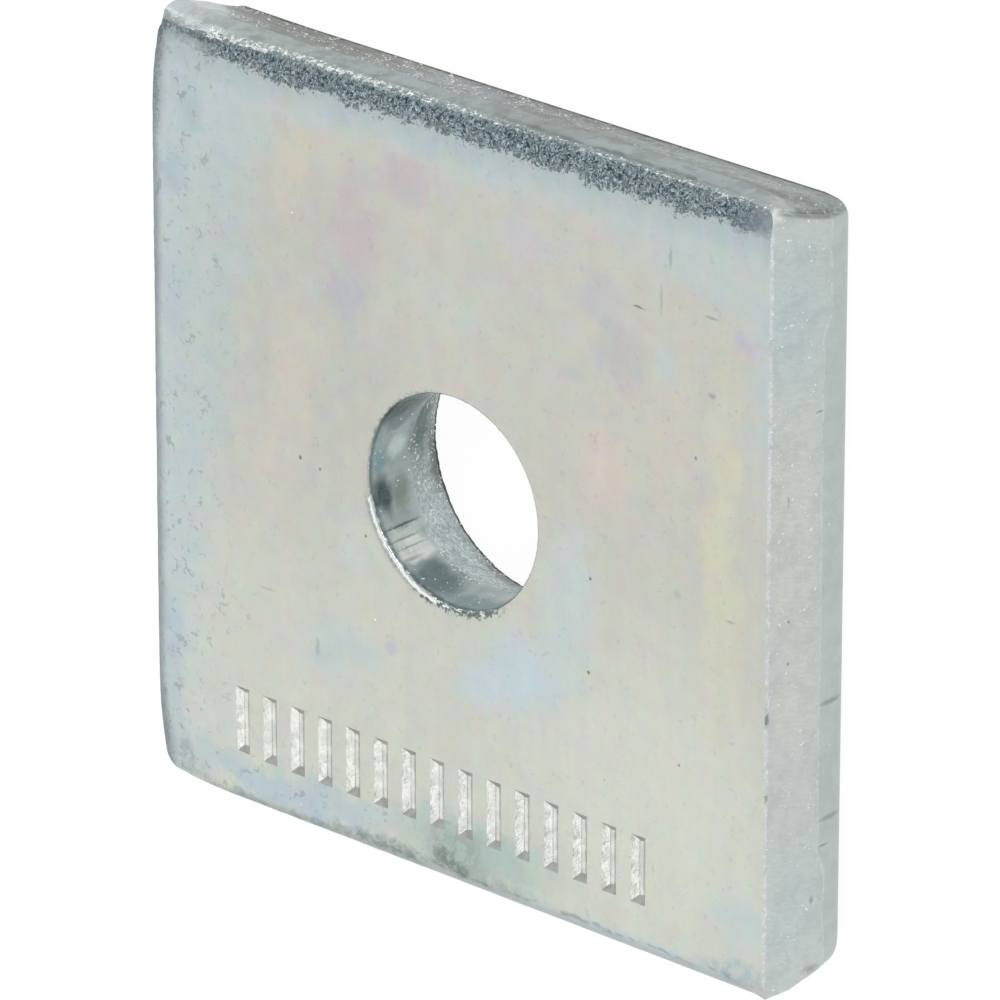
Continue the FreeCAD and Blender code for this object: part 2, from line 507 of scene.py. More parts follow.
        def inset(x: float, y: float) -> float:
            return self.half * (1 - self.ring_size(x, y))

        def lowered(x: float, y: float, z: float) -> float:
            if math.hypot(x, y) < 1.5 * self.bore_radius:
                return 0.0
            return self.face_drop(x, y) / self.deepest * z / top

        def toward_x(x: float, y: float) -> float:
            return smooth(0.5, 1.0, x / self.ring_size(x, y) / (self.half - self.corner_radius))

        def unbroken(x: float, y: float, z: float) -> float:
            if x < 0:
                return 0.0
            if not self.on_wall(x, y, z):
                return toward_x(x, y) if z < 1e-7 and inset(x, y) < self.break_inset + 1e-5 else 0.0
            return toward_x(x, y) * self.wall_inset(z * self.crest_height / top) / self.break_inset

        def parted(x: float, y: float, z: float) -> float:
            if x < 0:
                return 0.0
            foot, lip = self.parting_roll, self.parting_inset
            if z < 1e-7 and inset(x, y) > self.break_inset + 1e-5:
                shift = (foot - self.break_inset) * (1 - smooth(self.break_inset, 3.6 * MM, inset(x, y)))
            elif self.on_wall(x, y, z) or z < 1e-7:
                shift = self.parted_inset(z * (1 - self.face_drop(x, y) / top))
            else:
                shift = lip * (1 - smooth(0.0, 3 * MM, inset(x, y))) if inset(x, y) < 3 * MM else 0.0
            return toward_x(x, y) * shift / foot

        def room(angle: float) -> float:
            arc = self.corner_radius * (1 - max(math.cos(angle), math.sin(angle))) / (0.2 * MM)
            return min(arc, math.sin(2 * angle) ** 2)

        def squared(x: float, y: float, z: float) -> float:
            size = self.ring_size(x, y)
            arm = self.half - self.corner_radius
            if size < 1 - 2 * MM / self.half or x / size < arm or -y / size < arm:
                return 0.0
            angle = math.atan2(-y / size - arm, x / size - arm)
            return max(0.0, room(angle)) * smooth(1 - 2 * MM / self.half, 1 - 0.4 * MM / self.half, size)

        def less_broken(x: float, y: float, z: float) -> float:
            if y > 0 or x < 0 or not self.on_wall(x, y, z):
                return 0.0
            amount = smooth(10 * MM, 19 * MM, x) * self.wall_inset(z * self.crest_height / top) / self.break_inset
            return amount * smooth(0.0, 0.5 * MM, z)

        def worn_corner(x: float, y: float, z: float) -> float:
            if y < 0 or not self.on_wall(x, y, z):
                return 0.0
            middle = smooth(top - 0.2 * MM, top - 2.1 * MM, z) * smooth(0.4 * MM, 2.6 * MM, z)
            return smooth(18.2 * MM, 20.2 * MM, x) * middle

        def full_corner(x: float, y: float, z: float) -> float:
            low = 1 - min(1.0, z * self.crest_height / top / self.land_foot)
            if inset(x, y) > 3.6 * MM or z > self.land_foot + 1 * MM:
                return 0.0
            near = 1 - smooth(1.4 * MM, 3.6 * MM, inset(x, y))
            return low * smooth(-14.5 * MM, -19.2 * MM, x) * smooth(16.5 * MM, 19.2 * MM, y) * near

        def receding(x: float, y: float, z: float) -> float:
            depth = inset(x, y)
            if y < 0 or x > -11.5 * MM or depth > 3.5 * MM:
                return 0.0
            shift = (self.half - self.crest_y(x)) / MM * smooth(self.half - 4 * MM, self.half, y / self.ring_size(x, y))
            fall = max(0.0, 1 - (top - z) / (1.5 * MM)) ** 2.4
            return min(1.0, shift) * (1 - smooth(0.0, 3.5 * MM, depth)) * fall

        def filled(x: float, y: float, z: float) -> float:
            size, arm = self.ring_size(x, y), self.half - self.corner_radius
            angle = math.atan2(max(0.0, abs(y) / size - arm), max(1e-9, abs(x) / size - arm))
            if x > 0 or y < 0 or not 0.01 <= angle <= math.pi / 2 - 0.01 or not self.on_wall(x, y, z):
                return 0.0
            return room(angle) * smooth(top - 0.05 * MM, top - 0.5 * MM, z) * smooth(1.0 * MM, 2.5 * MM, z)

        for weight in (lowered, receding, filled, full_corner, squared, less_broken, worn_corner, unbroken, parted):
            bench.weigh(weight.__name__, weight)

    def weigh_wear(self, bench: Bench) -> None:
        """Write where the steel broke, grew sandy or kept a burr, while the plate is still plain.

        Args:
            bench: The bench with the plain plate.
        """
        top = self.thickness

        def wave(x: float, y: float, size: float) -> float:
            return noise.noise(Vector((x / size, y / size, 0.37)))

        def broken(x: float, y: float, z: float) -> float:
            if self.on_wall(x, y, z):
                level = z * self.crest_height / top
                border = self.land_foot + 0.45 * MM * wave(x, y, 3.1 * MM) + 0.2 * MM * wave(x, y, 0.9 * MM)
                border -= 3.2 * MM * smooth(-16.5 * MM, -19.5 * MM, x) * smooth(16 * MM, 19 * MM, abs(y))
                sheared = 1 - smooth(border - 0.25 * MM, border + 0.25 * MM, level)
                edge = 2.65 * MM - 0.5 * MM * smooth(13.5 * MM, 15.0 * MM, abs(y)) + 0.12 * MM * wave(x, y, 1.1 * MM)
                split = smooth(edge - 0.12 * MM, edge + 0.12 * MM, z)
                return sheared + (split - sheared) * self.parted(x, y)
            radius = math.hypot(x, y)
            if radius < self.breakout_radius + 1e-6 and z < top - 1e-6:
                border = self.bore_foot + 0.5 * MM * wave(x, y, 2.7 * MM) + 0.2 * MM * wave(x, y, 0.8 * MM)
                return 1 - smooth(border - 0.15 * MM, border + 0.15 * MM, z)
            return 0.0

        def split_side(x: float, y: float, z: float) -> float:
            return self.parted(x, y) if self.on_wall(x, y, z) else 0.0

        def crest(x: float, y: float, z: float) -> float:
            inset = self.half * (1 - self.ring_size(x, y))
            if inset > 0.6 * MM or math.hypot(x, y) < 2 * self.bore_radius:
                return 0.0
            edge = (1 - smooth(0.12 * MM, 0.55 * MM, inset)) * smooth(top - 0.7 * MM, top - 0.15 * MM, z)
            upper = smooth(18 * MM, 20 * MM, y) * smooth(-18.4 * MM, -16.6 * MM, x)
            upper *= 1 - 0.22 * smooth(-8 * MM, 2 * MM, x)
            return edge * (0.2 + 0.8 * upper) * (1 - 0.4 * self.parted(x, y))

        def rim(x: float, y: float, z: float) -> float:
            radius = math.hypot(x, y)
            mouth = self.bore_radius + self.bore_roll_width
            if z < top - 0.5 * MM or radius > mouth + 0.4 * MM:
                return 0.0
            near = (1 - smooth(mouth, mouth + 0.32 * MM, radius)) * smooth(top - 0.3 * MM, top - 0.14 * MM, z)
            turn = math.degrees(math.atan2(-y, -x))
            # The rim is weighted up toward -X -Y and toward -Y, so that the zinc burrs there are pressed higher and,
            # through the crest mask, painted white as highlights.
            return near * (0.45 + 0.95 * smooth(42, 26, abs(turn - 44)) + 0.45 * smooth(45, 25, abs(turn - 90)))

        def edges(x: float, y: float, z: float) -> float:
            return max(crest(x, y, z), rim(x, y, z))

        def seam(x: float, y: float, z: float) -> float:
            if y < 0 or x < 0 or not self.on_wall(x, y, z):
                return 0.0
            away = (self.parted(x, y) - 0.6) / 0.17
            return math.exp(-away * away) * smooth(top - 0.1 * MM, top - 0.7 * MM, z)

        bench.weigh("broken", lambda x, y, z: broken(x, y, z) * (1 - 0.7 * split_side(x, y, z)))
        bench.weigh("crest", crest)
        bench.weigh("rim", rim)
        for name, amount in (("fracture_mask", broken), ("crest_mask", edges), ("seam_mask", seam)):
            layer = bench.piece.data.attributes.new(name, "FLOAT", "POINT")
            for vertex in bench.piece.data.vertices:
                layer.data[vertex.index].value = amount(*vertex.co)

    def bend(self, bench: Bench) -> None:
        """Press the rolls, the droops, the parted side and the broken surfaces into the plate.

        Args:
            bench: The bench with the weighed plate.
        """
        moves = (
            ("lowered", "Z", -self.deepest),
            ("unbroken", "X", self.break_inset),
            ("parted", "X", -self.parting_roll),
            ("squared", "X", 0.2 * MM),
            ("squared", "Y", -0.2 * MM),
            ("full_corner", "X", -1.15 * MM),
            ("full_corner", "Y", 0.08 * MM),
            ("filled", "X", -0.2 * MM),
            ("filled", "Y", 0.2 * MM),
            ("receding", "Y", -1.0 * MM),
            ("less_broken", "Y", -0.32 * MM),
            ("worn_corner", "Y", -0.4 * MM),
        )
        for group, axis, reach in moves:
            bench.press(group, reach, axis)
        bench.press("broken", 0.12 * MM, "NORMAL", cloud("lumps", 0.9 * MM, 2), 0.65)
        bench.press("broken", 0.09 * MM, "NORMAL", cloud("grains", 0.32 * MM, 1), 0.65)
        bench.press("crest", 0.16 * MM, "NORMAL", cloud("beads", 0.3 * MM, 1, 1.6), 1.0)
        bench.press("rim", 0.14 * MM, "NORMAL", cloud("burrs", 0.22 * MM, 1), 0.95)


@dataclass
class TallyRow:
    """An even row of plain upright strokes stamped near the lower edge of the face."""

    count: int = 15
    first_x: float = -14.3 * MM
    pitch: float = 1.9 * MM
    middle_y: float = -16.0 * MM
    stroke_height: float = 3.75 * MM
    stroke_width: float = 0.95 * MM
    depth: float = 0.3 * MM
    foot_width: float = 0.25

    def cutter(self, surface: float) -> Bench:
        """Model one chisel and copy it along the row.

        Args:
            surface: Height of the face that it cuts.

        Returns:
            A bench with all the chisels joined in one piece.
        """
        Bench.clear()
        above = 0.4 * MM
        tall = self.depth + above
        bpy.ops.mesh.primitive_cube_add(size=1, location=(self.first_x, self.middle_y, surface + above - tall / 2))
        bench = Bench.take("chisel")
        slope = self.stroke_width * (1 - self.foot_width) / self.depth * above
        bpy.ops.transform.resize(value=(self.stroke_width + slope, self.stroke_height + slope, tall))
        bpy.ops.object.transform_apply(location=True, rotation=True, scale=True)
        bench.edit()
        middle = surface + above - tall / 2
        bench.pick_vertices(lambda co: co.z < middle)
        narrow = self.stroke_width * self.foot_width / (self.stroke_width + slope)
        short = (self.stroke_height - self.stroke_width * 0.9) / (self.stroke_height + slope)
        bpy.ops.transform.resize(value=(narrow, short, 1), center_override=(self.first_x, self.middle_y, surface))
        bpy.ops.mesh.bevel(offset=0.06 * MM, segments=2, affect="EDGES")
        bench.rest()
        chisels = [bench.piece]
        for step in range(1, self.count):
            Bench.clear()
            chisels[0].select_set(True)
            bpy.context.view_layer.objects.active = chisels[0]
            bpy.ops.object.duplicate(linked=False)
            bpy.ops.transform.translate(value=(step * self.pitch, 0, 0))
            chisels.append(bpy.context.object)
        Bench.clear()
        for chisel in chisels:
            chisel.select_set(True)
        bpy.context.view_layer.objects.active = chisels[0]
        bpy.ops.object.join()
        bpy.ops.object.transform_apply(location=True, rotation=True, scale=True)
        return bench

    def stamp(self, bench: Bench, surface: float) -> None:
        """Cut the row into the face.

        Args:
            bench: The bench with the plate.
            surface: Height of its face.
        """
        chisels = self.cutter(surface)
        bench.rest()
        cut = bench.piece.modifiers.new("stamp", "BOOLEAN")
        cut.operation = "DIFFERENCE"
        cut.solver = "EXACT"
        cut.object = chisels.piece
        bpy.ops.object.modifier_apply(modifier=cut.name)
        Bench.clear()
        chisels.piece.select_set(True)
        bpy.ops.object.delete()
        bench.rest()


@dataclass(frozen=True)
class Signal:
    """A number that varies over a surface; sums and products with it become Math nodes."""

    sheet: "Sheet"
    socket: bpy.types.NodeSocket

    def __add__(self, other: object) -> "Signal":
        """Sum of both."""
        return self.sheet.math("ADD", self, other)

    def __sub__(self, other: object) -> "Signal":
        """This less the other."""
        return self.sheet.math("SUBTRACT", self, other)

    def __rsub__(self, other: object) -> "Signal":
        """The other less this."""
        return self.sheet.math("SUBTRACT", other, self)

    def __mul__(self, other: object) -> "Signal":
        """Product of both."""
        return self.sheet.math("MULTIPLY", self, other)

    def __or__(self, other: object) -> "Signal":
        """The larger of both."""
        return self.sheet.math("MAXIMUM", self, other)

    __radd__, __rmul__ = __add__, __mul__

    def band(self, low: object, high: object, full: float = 1.0) -> "Signal":
        """Rise softly from 0 at low to full at high."""
        inputs = {"Value": self, "From Min": low, "From Max": high, "To Max": full}
        node = self.sheet.add("ShaderNodeMapRange", inputs, interpolation_type="SMOOTHSTEP")
        return Signal(self.sheet, node.outputs[0])


@dataclass(frozen=True)
class Sheet:
    """A node tree, with short calls that add, set and link its nodes."""

    tree: bpy.types.NodeTree

    def feed(self, socket: bpy.types.NodeSocket, value: object) -> None:
        """Link a socket to another, or set it to a plain value."""
        value = value.socket if isinstance(value, Signal) else value
        if isinstance(value, bpy.types.NodeSocket):
            self.tree.links.new(value, socket)
        else:
            socket.default_value = value

    def add(self, kind: str, inputs: dict[str | int, object], **settings: object) -> bpy.types.Node:
        """Add a node.

        Args:
            kind: Its type.
            inputs: Its input sockets by name or number, each a value or a socket to link.
            **settings: Its own settings.

        Returns:
            The node.
        """
        node = self.tree.nodes.new(kind)
        for name, value in settings.items():
            setattr(node, name, value)
        for key, value in inputs.items():
            self.feed(node.inputs[key], value)
        return node

    def math(self, operation: str, *values: object) -> Signal:
        """Work out one number from others by a Math node."""
        return Signal(self, self.add("ShaderNodeMath", dict(enumerate(values)), operation=operation).outputs[0])

    def vector(self, operation: str, *values: object) -> bpy.types.NodeSocket:
        """Work out a place from others by a Vector Math node."""
        return self.add("ShaderNodeVectorMath", dict(enumerate(values)), operation=operation).outputs[0]

    def length(self, vector: object) -> Signal:
        """Length of a vector."""
        return Signal(self, self.add("ShaderNodeVectorMath", {0: vector}, operation="LENGTH").outputs[1])

    def axes(self, place: object) -> list[Signal]:
        """The x, y and z of a place."""
        return [Signal(self, socket) for socket in self.add("ShaderNodeSeparateXYZ", {0: place}).outputs]

    def painted(self, name: str) -> Signal:
        """A mask that is written on the piece's vertices."""
        return Signal(self, self.add("ShaderNodeAttribute", {}, attribute_name=name).outputs["Fac"])

    def blend(self, factor: object, under: object, over: object, mode: str = "MIX") -> bpy.types.NodeSocket:
        """Lay one colour over another.

        Args:
            factor: How much of the upper colour shows.
            under: The lower colour.
            over: The upper colour.
            mode: How they mix.

        Returns:
            The mixed colour.
        """
        node = self.add("ShaderNodeMix", {}, data_type="RGBA", blend_type=mode)
        for socket, value in zip((node.inputs[0], node.inputs[6], node.inputs[7]), (factor, under, over)):
            self.feed(socket, value)
        return node.outputs[2]

    def cloud(self, place: object, scale: object, detail: float = 2.0, rough: float = 0.5) -> bpy.types.Node:
        """Add soft noise; place is in millimetres and scale in lumps per millimetre."""
        inputs = {"Vector": place, "Scale": scale, "Detail": detail, "Roughness": rough}
        return self.add("ShaderNodeTexNoise", inputs, normalize=True)

    def noise(self, place: object, scale: object, detail: float = 2.0, rough: float = 0.5) -> Signal:
        """Soft noise as a number."""
        return Signal(self, self.cloud(place, scale, detail, rough).outputs[0])

    def turn(self, place: object, axis: str, angle: float) -> bpy.types.NodeSocket:
        """Turn a place about an axis, in degrees."""
        inputs = {"Vector": place, "Angle": math.radians(angle)}
        return self.add("ShaderNodeVectorRotate", inputs, rotation_type=f"{axis}_AXIS").outputs[0]

    def bump(self, height: object, reach: float) -> bpy.types.NodeSocket:
        """Normal of a surface whose relief is at most this many millimetres high."""
        return self.add("ShaderNodeBump", {"Strength": 1.0, "Distance": reach * MM, "Height": height}).outputs[0]


def begin_group(
    name: str, inputs: dict[str, object], outputs: tuple[str, ...]
) -> tuple[Sheet, dict[str, Signal], bpy.types.Node]:
    """Start a node group with named sockets.

    Args:
        name: Its name.
        inputs: Default of each number it takes, by name; it takes a place as well.
        outputs: Name of each number it gives.

    Returns:
        The sheet of its tree, its inputs by name and its output node.
    """
    tree = bpy.data.node_groups.new(name, "ShaderNodeTree")
    tree.interface.new_socket(name="Place", in_out="INPUT", socket_type="NodeSocketVector")
    for key, default in inputs.items():
        tree.interface.new_socket(name=key, in_out="INPUT", socket_type="NodeSocketFloat").default_value = default
    for key in outputs:
        tree.interface.new_socket(name=key, in_out="OUTPUT", socket_type="NodeSocketFloat")
    entry, leave = tree.nodes.new("NodeGroupInput"), tree.nodes.new("NodeGroupOutput")
    sheet = Sheet(tree)
    return sheet, {key: Signal(sheet, entry.outputs[key]) for key in ("Place", *inputs)}, leave


def scratch_group() -> bpy.types.NodeTree:
    """Build short curved scratches in loose flocks, each a stretch of a contour of soft noise.

    Returns:
        A group from place, scale, width and amount to a mask.
    """
    sheet, entry, leave = begin_group("scratches", {"Scale": 0.9, "Width": 0.04, "Amount": 0.5}, ("Mask",))
    away = sheet.math("ABSOLUTE", sheet.noise(entry["Place"], entry["Scale"], 2.0, 0.55) - 0.5)
    line = away.band(entry["Width"], entry["Width"] * 0.4)
    low = entry["Amount"] * -0.2 + 0.66
    shown = sheet.noise(entry["Place"], entry["Scale"] * 1.7, 2.0, 0.6).band(low, low + 0.05)
    sheet.feed(leave.inputs["Mask"], line * shown)
    return sheet.tree


def pit_group() -> bpy.types.NodeTree:
    """Build scattered pits or specks.

    Returns:
        A group from place, scale, size and amount to a mask.
    """
    sheet, entry, leave = begin_group("pits", {"Scale": 1.5, "Size": 0.16, "Amount": 0.3}, ("Mask",))
    cells = sheet.add("ShaderNodeTexVoronoi", {"Vector": entry["Place"], "Scale": entry["Scale"]})
    red, green, _ = sheet.add("ShaderNodeSeparateColor", {0: cells.outputs["Color"]}).outputs
    width = entry["Size"] * (Signal(sheet, green) * 0.8 + 0.3)
    dot = Signal(sheet, cells.outputs["Distance"]).band(width, width * 0.5)
    sheet.feed(leave.inputs["Mask"], dot * sheet.math("LESS_THAN", red, entry["Amount"]))
    return sheet.tree


def lump_group(name: str, low: float, high: float) -> bpy.types.NodeTree:
    """Build sandy grain, or fine lines where the place is stretched along them.

    Args:
        name: Its name.
        low: The height below which its tone is darkest.
        high: The height above which its tone is lightest.

    Returns:
        A group from place and scale to a height and a tone.
    """
    sheet, entry, leave = begin_group(name, {"Scale": 1.0}, ("Height", "Tone"))
    lumps = sheet.noise(entry["Place"], entry["Scale"], 3.0, 0.65)
    sheet.feed(leave.inputs["Height"], lumps)
    sheet.feed(leave.inputs["Tone"], lumps.band(low, high))
    return sheet.tree


def sparkle_group() -> bpy.types.NodeTree:
    """Build fine sparkles in loose flocks, as broken steel and burrs show them.

    Returns:
        A group from place, scale and amount to a mask.
    """
    sheet, entry, leave = begin_group("sparkles", {"Scale": 6.0, "Amount": 0.5}, ("Mask",))
    dots = sheet.noise(entry["Place"], entry["Scale"], 1.0, 0.4)
    flock = sheet.noise(entry["Place"], entry["Scale"] * 0.13, 2.0, 0.6)
    low = entry["Amount"] * flock.band(0.38, 0.58) * -0.2 + 0.8
    sheet.feed(leave.inputs["Mask"], dots.band(low, low + 0.035))
    return sheet.tree


@dataclass(frozen=True)
class Effects:
    """The shared effects, built once."""

    scratches: bpy.types.NodeTree = field(default_factory=scratch_group)
    pits: bpy.types.NodeTree = field(default_factory=pit_group)
    sparkles: bpy.types.NodeTree = field(default_factory=sparkle_group)
    grain: bpy.types.NodeTree = field(default_factory=lambda: lump_group("grain", 0.37, 0.63))
    streaks: bpy.types.NodeTree = field(default_factory=lambda: lump_group("streaks", 0.32, 0.68))


@dataclass(frozen=True)
class Patch:
    """A patch of colour on a surface: its middle and reach in millimetres, and how soft its edge is."""

    middle: tuple[float, float, float]
    reach: tuple[float, float, float]
    colour: Colour
    share: float
    soft: float = 0.5


def lay_patches(
    sheet: Sheet, place: object, patches: tuple[Patch, ...], colour: object, breakup: Signal | None = None
) -> object:
    """Lay patches over a colour.

    Args:
        sheet: The material's sheet.
        place: The place in millimetres, warped where the patches are ragged.
        patches: The patches.
        colour: The colour under them.
        breakup: A mask that breaks them up, if any.

    Returns:
        The colour with the patches.
    """
    for patch in patches:
        scale = [1 / reach for reach in patch.reach]
        shift = [-middle * part for middle, part in zip(patch.middle, scale)]
        away = sheet.length(sheet.vector("MULTIPLY_ADD", place, scale, shift))
        share = away.band(0.8 + patch.soft, 0.8 - patch.soft, patch.share)
        colour = sheet.blend(share * breakup if breakup else share, colour, patch.colour)
    return colour


def warp(sheet: Sheet, place: object, scale: float, reach: float) -> bpy.types.NodeSocket:
    """Shift a place by soft noise, so that what is laid there gets a ragged outline.

    Args:
        sheet: The material's sheet.
        place: The place in millimetres.
        scale: Lumps per millimetre.
        reach: The largest shift in millimetres.

    Returns:
        The shifted place.
    """
    drift = sheet.vector("SUBTRACT", sheet.cloud(place, scale, 3.0, 0.6).outputs[1], (0.5, 0.5, 0.5))
    return sheet.vector("MULTIPLY_ADD", drift, (2 * reach, 2 * reach, 2 * reach), place)


@dataclass(frozen=True)
class Coat:
    """A material in the making."""

    material: bpy.types.Material
    sheet: Sheet
    place: bpy.types.NodeSocket

    @classmethod
    def begin(cls, name: str) -> "Coat":
        """Start a material, with the place on its surface in millimetres."""
        material = bpy.data.materials.new(name)
        material.use_nodes = True
        sheet = Sheet(material.node_tree)
        place = sheet.add("ShaderNodeTexCoord", {}).outputs["Object"]
        return cls(material, sheet, sheet.vector("DIVIDE", place, (MM, MM, MM)))

    def finish(self, colour: object, rough: object, metal: object, normal: object) -> bpy.types.Material:
        """Feed the material's shader.

        Args:
            colour: Its colour.
            rough: Its roughness.
            metal: How metallic it is.
            normal: Its bumped normal.

        Returns:
            The material.
        """
        shader = self.material.node_tree.nodes["Principled BSDF"]
        for name, value in (("Base Color", colour), ("Roughness", rough), ("Metallic", metal), ("Normal", normal)):
            self.sheet.feed(shader.inputs[name], value)
        return self.material


def use(sheet: Sheet, group: bpy.types.NodeTree, **inputs: object) -> dict[str, Signal]:
    """Place a shared effect in a material with its own values, and give its outputs by name."""
    node = sheet.add("ShaderNodeGroup", {}, node_tree=group)
    for key, value in inputs.items():
        sheet.feed(node.inputs[key], value)
    return {socket.name: Signal(sheet, socket) for socket in node.outputs}


